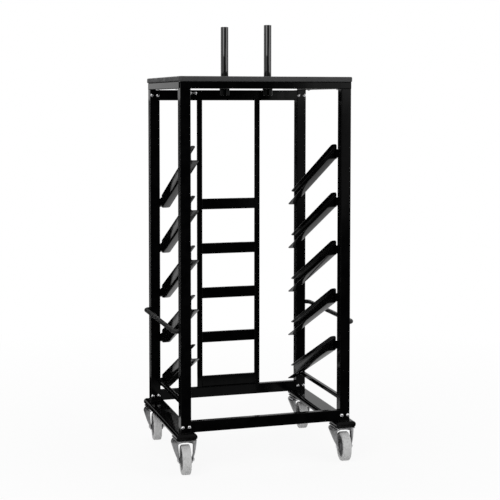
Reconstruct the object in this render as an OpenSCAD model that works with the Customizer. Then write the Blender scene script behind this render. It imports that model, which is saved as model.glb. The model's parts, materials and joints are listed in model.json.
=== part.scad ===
// Trolley for table tops: two welded side frames with sloping slots, joined by
// bolted rails, a stop frame at the back, two lift-out pins on the lid and four
// swivel castors. Millimetres, +Z up, the open side faces -Y.

/* [Frame] */
// Width over the posts
frame_w = 760; // [640:5:900]
// Depth over the posts
frame_d = 620; // [540:5:760]
// Height of the lid's underside above the floor
lid_z = 1652; // [1560:1:1800]
// Side of the square posts
post = 45; // [40:1:55]
// Wall of the posts
post_wall = 2; // [1.5:0.5:3]
// Corner radius of the tubes
tube_r = 3; // [2.5:0.5:4]

/* [Lid] */
// Thickness of the lid board
lid_t = 22; // [16:1:28]
// Overhang of the lid past the posts
lid_over = 6; // [2:1:15]
// Corner radius of the lid
lid_r = 14; // [5:1:30]
// Side of the square tube under the lid
top_rail = 30; // [25:1:40]
// Wall of the tube under the lid
top_rail_wall = 2; // [1.5:0.5:3]

/* [Rails] */
// Height of the bolted cross rails
rail_h = 48; // [40:1:55]
// Thickness of the bolted cross rails
rail_t = 25; // [20:1:30]
// Wall of the cross rails
rail_wall = 2; // [1.5:0.5:3]
// Thickness of the tongue at each end of a cross rail
tongue_t = 6; // [4:1:8]
// Height of the tongue
tongue_h = 34; // [28:1:36]
// Gap between the top of the posts and the back top rail
back_rail_drop = 1; // [1:0.5:20]

/* [Stops] */
// Height of each stop bar
stop_bar_h = 50; // [36:1:52]
// Depth of the stop frame's tubes
stop_t = 15; // [12:1:20]
// Width of the stop frame's uprights
stop_upright_w = 24; // [18:1:30]
// Distance between the middles of the uprights
stop_spacing = 282; // [220:2:360]
// Top of a stop bar above the back end of its slot
stop_rise = 31; // [26:1:40]

/* [Slots] */
// Distance from one slot to the next
slot_pitch = 210; // [180:1:215]
// Height of the lowest slot's ledge above the base, at the front
slot_z = 311; // [290:1:400]
// Drop of a slot from front to back
slot_drop = 244; // [160:1:265]
// Height of the guide section, measured upright
guide_h = 59; // [50:1:64]
// Width of the ledge that carries a table top
ledge_w = 35; // [28:1:50]
// Width of the lip over a table top
lip_w = 20; // [16:1:26]
// Sheet thickness of the guides
guide_t = 2.5; // [2:0.5:3.5]
// Length of a guide that passes the front posts
guide_lap = 10; // [6:1:25]
// Corner radius of the ledge and the lip
guide_r = 12; // [4:1:14]
// Thickness of the pads between the guides and the posts
pad_t = 10; // [6:1:14]
// Length of the pads
pad_l = 26; // [20:1:36]
// Height of the pads
pad_h = 34; // [24:1:40]

/* [Handles and braces] */
// Diameter of the side handles
handle_d = 20; // [16:1:26]
// Distance of the handle's centre line from the post
handle_reach = 22; // [20:1:45]
// Height of the handles above the base
handle_z = 429; // [386:1:526]
// Distance of the handle's ends from the front and back of the frame
handle_inset = 28; // [20:1:33]
// Side of the square lower braces
brace = 18; // [12:1:22]
// Height of the middle of the lower braces above the base
brace_z = 100; // [91:1:116]

/* [Pins] */
// Diameter of the lift-out pins
pin_d = 34; // [25:1:36]
// Distance between the pins
pin_spacing = 201; // [140:1:300]
// Height of the left pin above the lid
pin_rise_left = 224; // [120:1:320]
// Height of the right pin above the lid
pin_rise_right = 236; // [120:1:320]
// Chamfer at the top of the pins
pin_chamfer = 1.5; // [1:0.5:4]
// Step from the pin to its thinner foot
pin_step = 1.5; // [1.2:0.1:3]
// Outer diameter of the pin sockets
socket_d = 45; // [42:1:52]
// Length of a socket below the lid
socket_l = 57; // [45:1:90]
// Thickness of the socket's floor
socket_floor = 4; // [3:1:6]
// Side of the socket's flange
flange = 70; // [60:1:90]
// Thickness of the socket's flange
flange_t = 5; // [3:1:8]

/* [Base] */
// Width of the flat oval base tubes
base_w = 90; // [86:1:110]
// Height of the base tubes
base_h = 28; // [24:1:36]
// Wall of the base tubes
base_wall = 3; // [2:0.5:4]
// Overhang of the base past the posts, front and back
base_over = 18; // [10:1:40]
// Thickness of the end caps
cap_t = 3; // [2:0.5:5]
// Length of a cap's plug inside the tube
cap_plug = 5; // [3:1:6]

/* [Castors] */
// Height of a castor, from the floor to the base
castor_h = 146; // [120:1:175]
// Swing of the castors from straight ahead
castor_swing = 6; // [0:1:30]
// Distance from the swivel axis to the wheel axle
castor_trail = 36; // [32:1:42]
// Height of a castor's head above its wheel
castor_head = 21; // [18:0.5:28]
// Width of the tread
wheel_w = 37; // [30:1:38]
// Radius of the tread's shoulders
tread_r = 5; // [3:0.5:7]
// Thickness of the tyre
tyre_t = 16.5; // [12:0.5:20]
// Thickness of the wheel's web
web_t = 15.5; // [10:0.5:20]
// Thickness of the rim under the tyre
rim_t = 7.5; // [5:0.5:10]
// Diameter of the hub boss
boss_d = 34; // [28:1:40]
// Diameter of the axle bolts
axle_d = 10; // [8:1:12]
// Thickness of the fork's sheet
fork_t = 3; // [2.5:0.5:4]
// Clearance above the wheel under the fork's crown
crown_clear = 6; // [4:0.5:8]
// Length of the fork's crown between its cheeks, front to back
crown_l = 50; // [46:1:56]
// Corner radius of the fork's crown
crown_r = 10; // [4:1:20]
// Clearance beside the tread inside the fork
fork_clear = 7; // [3:0.5:9]
// Width over the fork's cheeks at the crown
fork_top_w = 104; // [66:1:108]
// Length of the fork's cheeks at the crown, front to back
fork_top_l = 76; // [56:1:84]
// Height of the bend in the fork's cheeks above the axle's nut
fork_bend = 2; // [0.5:0.5:14]
// Diameter of the swivel race
race_d = 50; // [46:1:56]
// Diameter of the swivel pin
swivel_d = 12; // [10:1:14]
// Length of the castor's plate
plate_l = 105; // [100:1:110]
// Distance of the castor's plate from the sides of the base tube
plate_inset = 2.5; // [1:0.5:5]
// Thickness of the castor's plate
plate_t = 4; // [3:0.5:5]
// Bolt spacing along the plate
plate_bolt_y = 80; // [78:1:84]
// Distance of the plate bolts from the edges of the base tube's flat
bolt_edge = 1; // [0:0.5:4]

/* [Fasteners] */
// Diameter of the frame and plate bolts
bolt_d = 8; // [6:1:8]
// Diameter of a dome head
dome_d = 16; // [13:1:17]
// Height of a dome head
dome_h = 5; // [3:0.5:6]
// Distance between the two bolts of a joint
bolt_gap = 28; // [24:1:28]
// Width across the flats of the plate bolts
hex_flats = 13; // [11:1:13]
// Diameter of the lid screws
screw_d = 5; // [4:0.5:6]
// Depth of the lid screws in the board
screw_bite = 12; // [8:1:13]
// Distance of the lid screws from the middle of the side rails
screw_y = 185; // [120:5:230]
// Distance of the hanging bolt below the top of the front left post
stay_drop = 18; // [14:1:40]
// Length of the hanging bolt inside the frame
stay_l = 32; // [20:1:50]

/* [Fits] */
// Radial clearance of running fits
run_fit = 0.05; // [0.02:0.01:0.1]
// Radial clearance of bolts in their holes
bolt_fit = 0.2; // [0.1:0.05:0.4]
// Clearance of loose flat fits
loose_fit = 0.3; // [0.2:0.05:0.5]

/* [Hidden] */
$fn = 48;
slots = 5;
sides = [-1, 1];
side_names = ["left", "right"];
end_names = ["front", "back"];

// Frame, from the middle of the frame on the floor
half_w = frame_w / 2;
half_d = frame_d / 2;
post_x = half_w - post / 2;
post_y = half_d - post / 2;
inner_x = half_w - post;
inner_y = half_d - post;
base_top = castor_h + base_h;
post_top = lid_z - top_rail;
post_cap = 3;
lid_top = lid_z + lid_t;

// Cross rails
low_rail_z = base_top;
high_rail_z = post_top - back_rail_drop - rail_h;
front_rail_y = -half_d + post_wall;
back_rail_y = inner_y + post_wall;
tongue_l = post - 2 * post_wall - 1;
stop_y = back_rail_y + rail_t - stop_t;

// Slots: pads hold the guides off the inner faces of the posts
guide_x = inner_x - pad_t;
guide_y0 = -inner_y - guide_lap;
guide_y1 = inner_y + guide_lap / 5;
pad_lift = 6;
slot_slope = slot_drop / (guide_y1 - guide_y0);
sheet_z = guide_t * sqrt(1 + slot_slope * slot_slope);
function slot_front(i) = base_top + slot_z + (slots - 1 - i) * slot_pitch;
function slot_back(i) = slot_front(i) - slot_drop;
brace_x = inner_x + brace / 2;
brace_wall = 1.5;

// Lid fittings
pin_x = pin_spacing / 2;
pin_foot = lid_z - socket_l + socket_floor + loose_fit;
foot_r = pin_d / 2 - pin_step;
shoulder_chamfer = 0.4;
lid_hole_r = foot_r + 2 * loose_fit;
screw_x = half_w - top_rail / 2;
screw_head_d = 2.2 * screw_d;
screw_head_h = 0.7 * screw_d;
stay_z = post_top - stay_drop;
nut_h = 0.8 * bolt_d;

// Castors, each about its own swivel axis
castor_y = half_d + base_over - plate_l / 2 - 1;
wheel_d = castor_h - castor_head;
wheel_r = wheel_d / 2;
hub_d = wheel_d - 2 * tyre_t;
plate_w = base_w - 2 * plate_inset;
plate_bolt_x = base_w - base_h - 2 * bolt_edge;
crown_z = wheel_d + crown_clear;
crown_t = fork_t + 0.5;
plate_z = castor_h - plate_t;
swivel_gap = 0.2;
race_z = crown_z + crown_t;
race_h = (plate_z - race_z - swivel_gap) / 2;
fork_in = wheel_w / 2 + fork_clear;
fork_out = fork_in + fork_t;
axle_flats = 1.7 * axle_d;
bend_z = wheel_r + axle_flats / (2 * cos(30)) + fork_bend;
splay = (fork_top_w / 2 - fork_out) / (race_z - bend_z);
splay_t = fork_t * sqrt(1 + splay * splay);
boss_play = 1;
boss_half = fork_in - boss_play;
rivet_h = 4;
rivet_d = 1.8 * swivel_d;
axle_head_h = 0.65 * axle_d;
axle_nut_h = 0.8 * axle_d;
fork_eye_r = 1.5 * axle_d;

// The origin is the middle of the whole outline, wheels included
wheel_reach = (castor_trail + wheel_r - tread_r) * cos(castor_swing)
    + (wheel_w / 2 - tread_r) * sin(castor_swing) + tread_r;
back_reach = half_d + base_over;
centre_y = (castor_y + wheel_reach - back_reach) / 2;

paint = [0.06, 0.06, 0.065];
board = [0.22, 0.22, 0.22];
zinc = [0.72, 0.72, 0.73];
grey_rubber = [0.74, 0.74, 0.74];
grey_plastic = [0.5, 0.5, 0.51];
black_plastic = [0.04, 0.04, 0.04];

// Flat shapes

module rounded(w, h, r) {
    square([w - 2 * r, h], center = true);
    square([w, h - 2 * r], center = true);
    for (x = sides, y = sides)
        translate([x * (w / 2 - r), y * (h / 2 - r)])
            circle(r = r);
}

module tube_section(w, h, wall) {
    difference() {
        rounded(w, h, tube_r);
        rounded(w - 2 * wall, h - 2 * wall, tube_r - wall / 2);
    }
}

module oval(w, h) {
    square([w - h, h], center = true);
    for (x = sides)
        translate([x * (w - h) / 2, 0])
            circle(d = h);
}

// Extrusions along the frame: the flat shape's first axis is given in brackets

// Along X (flat x is Y, flat y is Z)
module along_x(x0, x1) {
    translate([x0, 0, 0])
        rotate([90, 0, 90])
            linear_extrude(x1 - x0)
                children();
}

// Along Y (flat x is X, flat y is Z)
module along_y(y0, y1) {
    translate([0, y1, 0])
        rotate([90, 0, 0])
            linear_extrude(y1 - y0)
                children();
}

// Cylinder along Y from y0 to y1
module rod_y(d, y0, y1) {
    translate([0, y0, 0])
        rotate([-90, 0, 0])
            cylinder(d = d, h = y1 - y0);
}

// Cylinder along X from x0 to x1
module rod_x(d, x0, x1) {
    translate([x0, 0, 0])
        rotate([0, 90, 0])
            cylinder(d = d, h = x1 - x0);
}

module hex_z(flats, h) {
    cylinder(d = flats / cos(30), h = h, $fn = 6);
}

// Frame joints: the two bolts of a rail joint at the post's front face

module at_joint(s, y, z) {
    for (side = sides)
        translate([s * post_x + side * bolt_gap / 2, y, z + rail_h / 2])
            children();
}

module joint_cuts(s, y, z) {
    at_joint(s, y, z)
        rod_y(bolt_d + 2 * bolt_fit, -1, post_wall + 1);
    translate([s * (inner_x + post_wall / 2), y + post_wall + tongue_t / 2, z + rail_h / 2])
        cube([2 * post_wall, tongue_t + 2 * loose_fit, tongue_h + 2 * loose_fit], center = true);
}

module leg(s, e) {
    face_y = e < 0 ? -half_d : inner_y;
    color(paint)
        difference() {
            translate([s * post_x, e * post_y, base_top]) {
                linear_extrude(post_top - base_top)
                    tube_section(post, post, post_wall);
                translate([0, 0, post_top - base_top - post_cap])
                    linear_extrude(post_cap)
                        rounded(post - post_wall, post - post_wall, tube_r - post_wall / 2);
            }
            joint_cuts(s, face_y, low_rail_z);
            if (e > 0)
                joint_cuts(s, face_y, high_rail_z);
            if (e < 0 && s < 0)
                translate([0, -post_y, stay_z])
                    rod_x(bolt_d + 2 * bolt_fit, -inner_x - post_wall - 1, -inner_x + 1);
        }
}

module cross_rail(y, z) {
    color(paint)
        translate([0, y, z]) {
            along_x(-inner_x, inner_x)
                translate([rail_t / 2, rail_h / 2])
                    tube_section(rail_t, rail_h, rail_wall);
            for (s = sides)
                tongue(s);
        }
}

// Tongue of a cross rail: it starts inside the rail's end and reaches into the post
module tongue(s) {
    root = inner_x - tongue_l / 2;
    difference() {
        translate([s > 0 ? root : -inner_x - tongue_l, 0, (rail_h - tongue_h) / 2])
            cube([1.5 * tongue_l, tongue_t, tongue_h]);
        for (side = sides)
            translate([s * post_x + side * bolt_gap / 2, 0, rail_h / 2])
                rod_y(bolt_d + 2 * bolt_fit, -1, tongue_t + 1);
    }
}

// Top frame and lid

module top_rail_front() {
    color(paint)
        along_x(-half_w, half_w)
            translate([-half_d + top_rail / 2, post_top + top_rail / 2])
                tube_section(top_rail, top_rail, top_rail_wall);
}

module top_rail_side(s) {
    color(paint)
        difference() {
            along_y(-half_d + top_rail, half_d)
                translate([s * screw_x, post_top + top_rail / 2])
                    tube_section(top_rail, top_rail, top_rail_wall);
            for (y = sides)
                translate([s * screw_x, y * screw_y, post_top - 1])
                    cylinder(d = screw_d + 2 * bolt_fit, h = top_rail + 2);
        }
}

module lid_board() {
    color(board)
        difference() {
            translate([0, 0, lid_z])
                linear_extrude(lid_t)
                    rounded(frame_w + 2 * lid_over, frame_d + 2 * lid_over, lid_r);
            for (s = sides)
                translate([s * pin_x, 0, lid_z - 1])
                    cylinder(r = lid_hole_r, h = lid_t + 2);
            for (s = sides, y = sides)
                translate([s * screw_x, y * screw_y, lid_z - 1])
                    cylinder(d = screw_d + 2 * bolt_fit, h = screw_bite + 2);
        }
}

module lid_screws() {
    color(zinc)
        for (s = sides, y = sides)
            translate([s * screw_x, y * screw_y, post_top - screw_head_h]) {
                cylinder(d1 = 0.8 * screw_head_d, d2 = screw_head_d, h = screw_head_h);
                cylinder(d = screw_d, h = screw_head_h + top_rail + screw_bite);
            }
}

// Pins and their sockets

module pin_sockets() {
    color(paint)
        for (s = sides)
            translate([s * pin_x, 0, lid_z - socket_l])
                difference() {
                    union() {
                        cylinder(d = socket_d, h = socket_l);
                        translate([0, 0, socket_l - flange_t])
                            linear_extrude(flange_t)
                                rounded(flange, flange, tube_r);
                    }
                    translate([0, 0, socket_floor])
                        cylinder(r = foot_r + run_fit, h = socket_l);
                }
}

// A pin stands on the lid by its shoulder, and its foot fills the socket
module pin(s, rise) {
    r = pin_d / 2;
    foot = lid_top - pin_foot;
    color(paint)
        translate([s * pin_x, 0, lid_top])
            rotate_extrude()
                polygon([
                    [0, -foot],
                    [foot_r - shoulder_chamfer, -foot],
                    [foot_r, shoulder_chamfer - foot],
                    [foot_r, 0],
                    [r - shoulder_chamfer, 0],
                    [r, shoulder_chamfer],
                    [r, rise - pin_chamfer],
                    [r - pin_chamfer, rise],
                    [0, rise]
                ]);
}

// Stop frame at the back

module stop_upright(s) {
    color(paint)
        translate([s * stop_spacing / 2, stop_y + stop_t / 2, low_rail_z + rail_h])
            linear_extrude(high_rail_z - low_rail_z - rail_h)
                tube_section(stop_upright_w, stop_t, rail_wall);
}

module stop_bar(i) {
    half = stop_spacing / 2 - stop_upright_w / 2;
    color(paint)
        along_x(-half, half)
            translate([stop_y + stop_t / 2, slot_back(i) + stop_rise - stop_bar_h / 2])
                tube_section(stop_t, stop_bar_h, rail_wall);
}

// Slot guides, drawn on the right and mirrored for the left

module sloped(x0, x1, low, h) {
    along_x(x0, x1)
        polygon([
            [guide_y0, low],
            [guide_y1, low - slot_drop],
            [guide_y1, low - slot_drop + h],
            [guide_y0, low + h]
        ]);
}

// Plan of a shelf of the guide: its inner corners are round
module shelf_plan(w) {
    x0 = guide_x - w;
    translate([x0 + guide_r, guide_y0])
        square([w - guide_r, guide_y1 - guide_y0]);
    translate([x0, guide_y0 + guide_r])
        square([w, guide_y1 - guide_y0 - 2 * guide_r]);
    for (y = [guide_y0 + guide_r, guide_y1 - guide_r])
        translate([x0 + guide_r, y])
            circle(r = guide_r);
}

module shelf(w, low) {
    intersection() {
        sloped(guide_x - w - 1, guide_x, low, sheet_z);
        translate([0, 0, low - slot_drop - 1])
            linear_extrude(slot_drop + sheet_z + 2)
                shelf_plan(w);
    }
}

module slot_guide(s, i) {
    low = slot_front(i) - sheet_z;
    color(paint)
        mirror([s < 0 ? 1 : 0, 0, 0]) {
            sloped(guide_x - guide_t, guide_x, low, guide_h);
            shelf(ledge_w, low);
            shelf(lip_w, low + guide_h - sheet_z);
            pad(guide_y0 + 1, low);
            pad(guide_y1 + guide_lap - pad_l, low);
        }
}

// Pad that is welded between a guide and a post, from y towards the back
module pad(y, low) {
    z = low + pad_lift - slot_slope * (y - guide_y0);
    along_x(guide_x, inner_x)
        polygon([
            [y, z],
            [y + pad_l, z - slot_slope * pad_l],
            [y + pad_l, z - slot_slope * pad_l + pad_h],
            [y, z + pad_h]
        ]);
}

// Side handles and lower braces

module handle_bend(e) {
    translate([half_w, e * (half_d - handle_inset - handle_reach), base_top + handle_z])
        rotate([0, 0, e > 0 ? 0 : -90])
            rotate_extrude(angle = 90)
                translate([handle_reach, 0])
                    circle(d = handle_d);
}

module side_handle(s) {
    straight = half_d - handle_inset - handle_reach;
    color(paint)
        mirror([s < 0 ? 1 : 0, 0, 0]) {
            translate([half_w + handle_reach, 0, base_top + handle_z])
                rod_y(handle_d, -straight, straight);
            for (e = sides)
                handle_bend(e);
        }
}

// A brace runs between two posts, flush with their inner faces
module lower_braces() {
    color(paint)
        for (s = sides)
            along_y(-inner_y, inner_y)
                translate([s * brace_x, base_top + brace_z])
                    tube_section(brace, brace, brace_wall);
}

// Base

module base_tube(s) {
    end = half_d + base_over - cap_t;
    color(paint)
        difference() {
            translate([s * post_x, 0, castor_h + base_h / 2])
                along_y(-end, end)
                    difference() {
                        oval(base_w, base_h);
                        oval(base_w - 2 * base_wall, base_h - 2 * base_wall);
                    }
            for (e = sides)
                at_plate_bolts(s, e)
                    translate([0, 0, castor_h - 1])
                        cylinder(d = bolt_d + 2 * bolt_fit, h = base_wall + 2);
        }
}

module base_end_caps() {
    end = half_d + base_over;
    slim = 2 * (base_wall + loose_fit);
    color(black_plastic)
        for (s = sides, e = [0, 1])
            translate([s * post_x, 0, castor_h + base_h / 2])
                mirror([0, e, 0]) {
                    along_y(end - cap_t, end)
                        oval(base_w, base_h);
                    along_y(end - cap_t - cap_plug, end - cap_t)
                        oval(base_w - slim, base_h - slim);
                }
}

// Castors

module at_castor(s, e) {
    translate([s * post_x, e * castor_y, 0])
        children();
}

// The part of a castor that swings: its wheel trails towards the front
module at_fork(s, e) {
    at_castor(s, e)
        rotate([0, 0, -castor_swing])
            children();
}

module at_plate_bolts(s, e) {
    at_castor(s, e)
        for (x = sides, y = sides)
            translate([x * plate_bolt_x / 2, y * plate_bolt_y / 2, 0])
                children();
}

module castor_plate(s, e) {
    color(zinc)
        difference() {
            at_castor(s, e) {
                translate([0, 0, plate_z])
                    linear_extrude(plate_t)
                        rounded(plate_w, plate_l, 2 * tube_r);
                translate([0, 0, plate_z - race_h])
                    cylinder(d = race_d, h = race_h);
                translate([0, 0, crown_z - swivel_gap])
                    cylinder(d = swivel_d, h = plate_z - crown_z);
                translate([0, 0, crown_z - swivel_gap - rivet_h])
                    cylinder(d1 = 0.8 * rivet_d, d2 = rivet_d, h = rivet_h);
            }
            at_plate_bolts(s, e)
                translate([0, 0, plate_z - 1])
                    cylinder(d = bolt_d + 2 * bolt_fit, h = plate_t + 2);
        }
}

// Outline of the fork's cheeks, drawn in the plane across the axle
module cheek() {
    difference() {
        union() {
            polygon([
                [-castor_trail - fork_eye_r, wheel_r],
                [-castor_trail - fork_eye_r / 2, race_z - 1.5 * fork_eye_r],
                [-fork_top_l / 2, race_z],
                [fork_top_l / 2, race_z],
                [fork_top_l / 2, race_z - 0.8 * fork_eye_r],
                [-castor_trail + fork_eye_r * cos(30), wheel_r - fork_eye_r * sin(30)]
            ]);
            translate([-castor_trail, wheel_r])
                circle(r = fork_eye_r);
        }
        translate([-castor_trail, wheel_r])
            circle(r = axle_d / 2 + run_fit);
    }
}

// Section through a cheek: upright at the axle, splayed out to the crown
module cheek_section() {
    low = wheel_r - fork_eye_r - 1;
    polygon([
        [fork_in, low],
        [fork_out, low],
        [fork_out, bend_z],
        [fork_top_w / 2, race_z],
        [fork_top_w / 2 - splay_t, race_z],
        [fork_in, bend_z]
    ]);
}

module castor_fork(s, e) {
    color(zinc)
        at_fork(s, e) {
            for (side = [0, 1])
                intersection() {
                    along_x(-fork_top_w, fork_top_w)
                        cheek();
                    mirror([side, 0, 0])
                        along_y(-castor_trail - fork_top_l, fork_top_l)
                            cheek_section();
                }
            difference() {
                union() {
                    translate([0, 0, crown_z])
                        linear_extrude(crown_t)
                            rounded(fork_top_w - 2 * splay_t, crown_l, crown_r);
                    translate([0, 0, race_z])
                        cylinder(d = race_d, h = race_h);
                }
                translate([0, 0, crown_z - 1])
                    cylinder(r = swivel_d / 2 + run_fit, h = crown_t + race_h + 2);
            }
        }
}

module at_axle(s, e) {
    at_fork(s, e)
        translate([0, -castor_trail, wheel_r])
            children();
}

module castor_axle(s, e) {
    tip = fork_out + axle_nut_h + 0.2 * axle_d;
    color(zinc)
        at_axle(s, e) {
            rod_x(axle_d, -fork_out - axle_head_h, tip);
            translate([-fork_out - axle_head_h, 0, 0])
                rotate([0, 90, 0])
                    hex_z(axle_flats, axle_head_h);
            difference() {
                translate([fork_out, 0, 0])
                    rotate([0, 90, 0])
                        hex_z(axle_flats, axle_nut_h);
                rod_x(axle_d + 2 * run_fit, fork_out - 1, tip + 1);
            }
        }
}

// The wheel's profile lies at the right of its axis
module wheel_hub(s, e) {
    hub_w = wheel_w - 2 * tread_r;
    color(grey_plastic)
        at_axle(s, e)
            rotate([0, 90, 0])
                rotate_extrude()
                    difference() {
                        union() {
                            translate([0, -boss_half])
                                square([boss_d / 2, 2 * boss_half]);
                            translate([0, -web_t / 2])
                                square([hub_d / 2, web_t]);
                            translate([hub_d / 2 - rim_t, -hub_w / 2])
                                square([rim_t, hub_w]);
                        }
                        translate([-1, -wheel_w])
                            square([axle_d / 2 + run_fit + 1, 2 * wheel_w]);
                    }
}

module wheel_tyre(s, e) {
    depth = wheel_r - hub_d / 2;
    color(grey_rubber)
        at_axle(s, e)
            rotate([0, 90, 0])
                rotate_extrude()
                    translate([hub_d / 2, 0]) {
                        translate([0, -wheel_w / 2])
                            square([depth - tread_r, wheel_w]);
                        translate([0, -wheel_w / 2 + tread_r])
                            square([depth, wheel_w - 2 * tread_r]);
                        for (y = sides)
                            translate([depth - tread_r, y * (wheel_w / 2 - tread_r)])
                                circle(r = tread_r);
                    }
}

module castor_bolts() {
    color(zinc)
        for (s = sides, e = sides)
            at_plate_bolts(s, e) {
                translate([0, 0, plate_z - 0.65 * bolt_d])
                    hex_z(hex_flats, 0.65 * bolt_d);
                translate([0, 0, plate_z - 0.65 * bolt_d])
                    cylinder(d = bolt_d, h = 0.65 * bolt_d + plate_t + base_wall + bolt_d);
            }
}

// Dome-headed bolts of the rail joints, and the hanging bolt at the front left post

module dome_bolt() {
    ball_r = (dome_h * dome_h + dome_d * dome_d / 4) / (2 * dome_h);
    rotate([90, 0, 0])
        intersection() {
            translate([0, 0, dome_h - ball_r])
                sphere(r = ball_r);
            cylinder(d = 2 * dome_d, h = 2 * dome_h);
        }
    rod_y(bolt_d, 0, post_wall + tongue_t + bolt_d / 2);
}

module stay_bolt() {
    translate([-inner_x, -post_y, stay_z]) {
        rod_x(bolt_d, -post_wall - bolt_d / 2, stay_l);
        translate([stay_l - nut_h, 0, 0])
            rotate([0, 90, 0])
                hex_z(hex_flats, nut_h);
        rotate([0, 90, 0])
            hex_z(hex_flats, nut_h);
    }
}

module frame_bolts() {
    color(zinc) {
        for (s = sides) {
            at_joint(s, -half_d, low_rail_z)
                dome_bolt();
            for (z = [low_rail_z, high_rail_z])
                at_joint(s, inner_y, z)
                    dome_bolt();
        }
        stay_bolt();
    }
}

module placed() {
    translate([0, centre_y, 0])
        children();
}

placed() lid_board();
placed() top_rail_front();
placed() cross_rail(back_rail_y, high_rail_z);  // top_rail_back
placed() cross_rail(front_rail_y, low_rail_z);  // bottom_rail_front
placed() cross_rail(back_rail_y, low_rail_z);  // bottom_rail_back
placed() lower_braces();
placed() base_end_caps();
placed() pin_sockets();
placed() pin(-1, pin_rise_left);  // pin_left
placed() pin(1, pin_rise_right);  // pin_right
placed() frame_bolts();
placed() lid_screws();
placed() castor_bolts();
for (i = [0 : slots - 1])
    placed() stop_bar(i);
for (k = [0, 1]) {
    placed() top_rail_side(sides[k]);
    placed() stop_upright(sides[k]);
    placed() side_handle(sides[k]);
    placed() base_tube(sides[k]);
    for (i = [0 : slots - 1])
        placed() slot_guide(sides[k], i);
    for (j = [0, 1]) {
        corner = str(end_names[j], "_", side_names[k]);
        placed() leg(sides[k], sides[j]);
        placed() castor_plate(sides[k], sides[j]);
        placed() castor_fork(sides[k], sides[j]);
        placed() castor_axle(sides[k], sides[j]);
        placed() wheel_hub(sides[k], sides[j]);
        placed() wheel_tyre(sides[k], sides[j]);
    }
}
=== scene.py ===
"""Looks of a banquet table trolley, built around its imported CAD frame. Metres, +Z up."""

import json
import logging
import math
from dataclasses import dataclass
from enum import Enum
from typing import Sequence

import bmesh
import bpy
from mathutils import Matrix, Vector


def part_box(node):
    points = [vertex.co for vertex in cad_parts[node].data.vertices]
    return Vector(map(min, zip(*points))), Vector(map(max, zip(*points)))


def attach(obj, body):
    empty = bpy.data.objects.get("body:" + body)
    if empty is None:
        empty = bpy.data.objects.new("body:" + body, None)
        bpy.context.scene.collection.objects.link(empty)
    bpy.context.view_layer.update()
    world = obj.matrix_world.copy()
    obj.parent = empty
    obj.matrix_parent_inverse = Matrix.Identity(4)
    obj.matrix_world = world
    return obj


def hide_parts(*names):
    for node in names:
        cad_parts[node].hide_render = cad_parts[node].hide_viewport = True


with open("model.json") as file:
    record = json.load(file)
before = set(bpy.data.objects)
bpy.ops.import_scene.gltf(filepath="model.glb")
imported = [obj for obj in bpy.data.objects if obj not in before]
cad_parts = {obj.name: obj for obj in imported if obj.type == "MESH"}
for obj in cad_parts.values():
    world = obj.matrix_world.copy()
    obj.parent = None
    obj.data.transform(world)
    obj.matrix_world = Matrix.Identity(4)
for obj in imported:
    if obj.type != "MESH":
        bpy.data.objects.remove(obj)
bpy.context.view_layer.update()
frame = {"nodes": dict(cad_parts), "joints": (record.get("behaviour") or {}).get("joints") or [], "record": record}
LOG = logging.getLogger("trolley")
Point2 = tuple[float, float]
Point3 = tuple[float, float, float]
Colour = tuple[float, float, float]
Seat = tuple[Sequence[float], Sequence[float]]


class Slot(Enum):
    """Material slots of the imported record."""

    POWDER_COAT = "black_powder_coat"
    GLOSS_PAINT = "black_gloss_paint"
    BOARD = "dark_board"
    CAP_PLASTIC = "black_plastic"
    BRIGHT_ZINC = "bright_zinc"
    DULL_ZINC = "dull_zinc"
    HUB_PLASTIC = "grey_plastic"
    TREAD_RUBBER = "grey_rubber"


class Side(Enum):
    """Left or right of the trolley, seen from the open side."""

    LEFT = -1
    RIGHT = 1

    @property
    def word(self) -> str:
        """Name of the side as the nodes spell it."""
        return self.name.lower()


# Node trees


class NodeBench:
    """Short ways to add nodes to a tree and to join them."""

    def __init__(self, tree: bpy.types.NodeTree) -> None:
        """Work on a tree."""
        self.tree = tree

    def node(self, kind: str, **settings: object) -> bpy.types.Node:
        """Add a node.

        Args:
            kind: Blender's name of the node type.
            settings: Properties to set on the node.

        Returns:
            The new node.
        """
        node = self.tree.nodes.new(kind)
        for key, value in settings.items():
            setattr(node, key, value)
        return node

    def link(self, source: bpy.types.NodeSocket, target: bpy.types.NodeSocket) -> None:
        """Join two sockets."""
        self.tree.links.new(source, target)

    def combine(self, operation: str, a: bpy.types.NodeSocket, b: bpy.types.NodeSocket) -> bpy.types.NodeSocket:
        """Combine two values.

        Args:
            operation: Blender's name of the sum to do.
            a: Socket with the first value.
            b: Socket with the second value.

        Returns:
            The result's socket.
        """
        node = self.node("ShaderNodeMath", operation=operation)
        self.link(a, node.inputs[0])
        self.link(b, node.inputs[1])
        return node.outputs[0]

    def spread(self, value: bpy.types.NodeSocket, low: float, high: float,
               start: float = 0.35, end: float = 0.65) -> bpy.types.NodeSocket:
        """Map a value from one range to another, clamped.

        Args:
            value: Socket with the value.
            low: Result at the start of the range.
            high: Result at the end of the range.
            start: Start of the value's range.
            end: End of the value's range.

        Returns:
            The result's socket.
        """
        mapped = self.node("ShaderNodeMapRange")
        for key, number in zip(("From Min", "From Max", "To Min", "To Max"), (start, end, low, high)):
            mapped.inputs[key].default_value = number
        self.link(value, mapped.inputs["Value"])
        return mapped.outputs["Result"]


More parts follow.
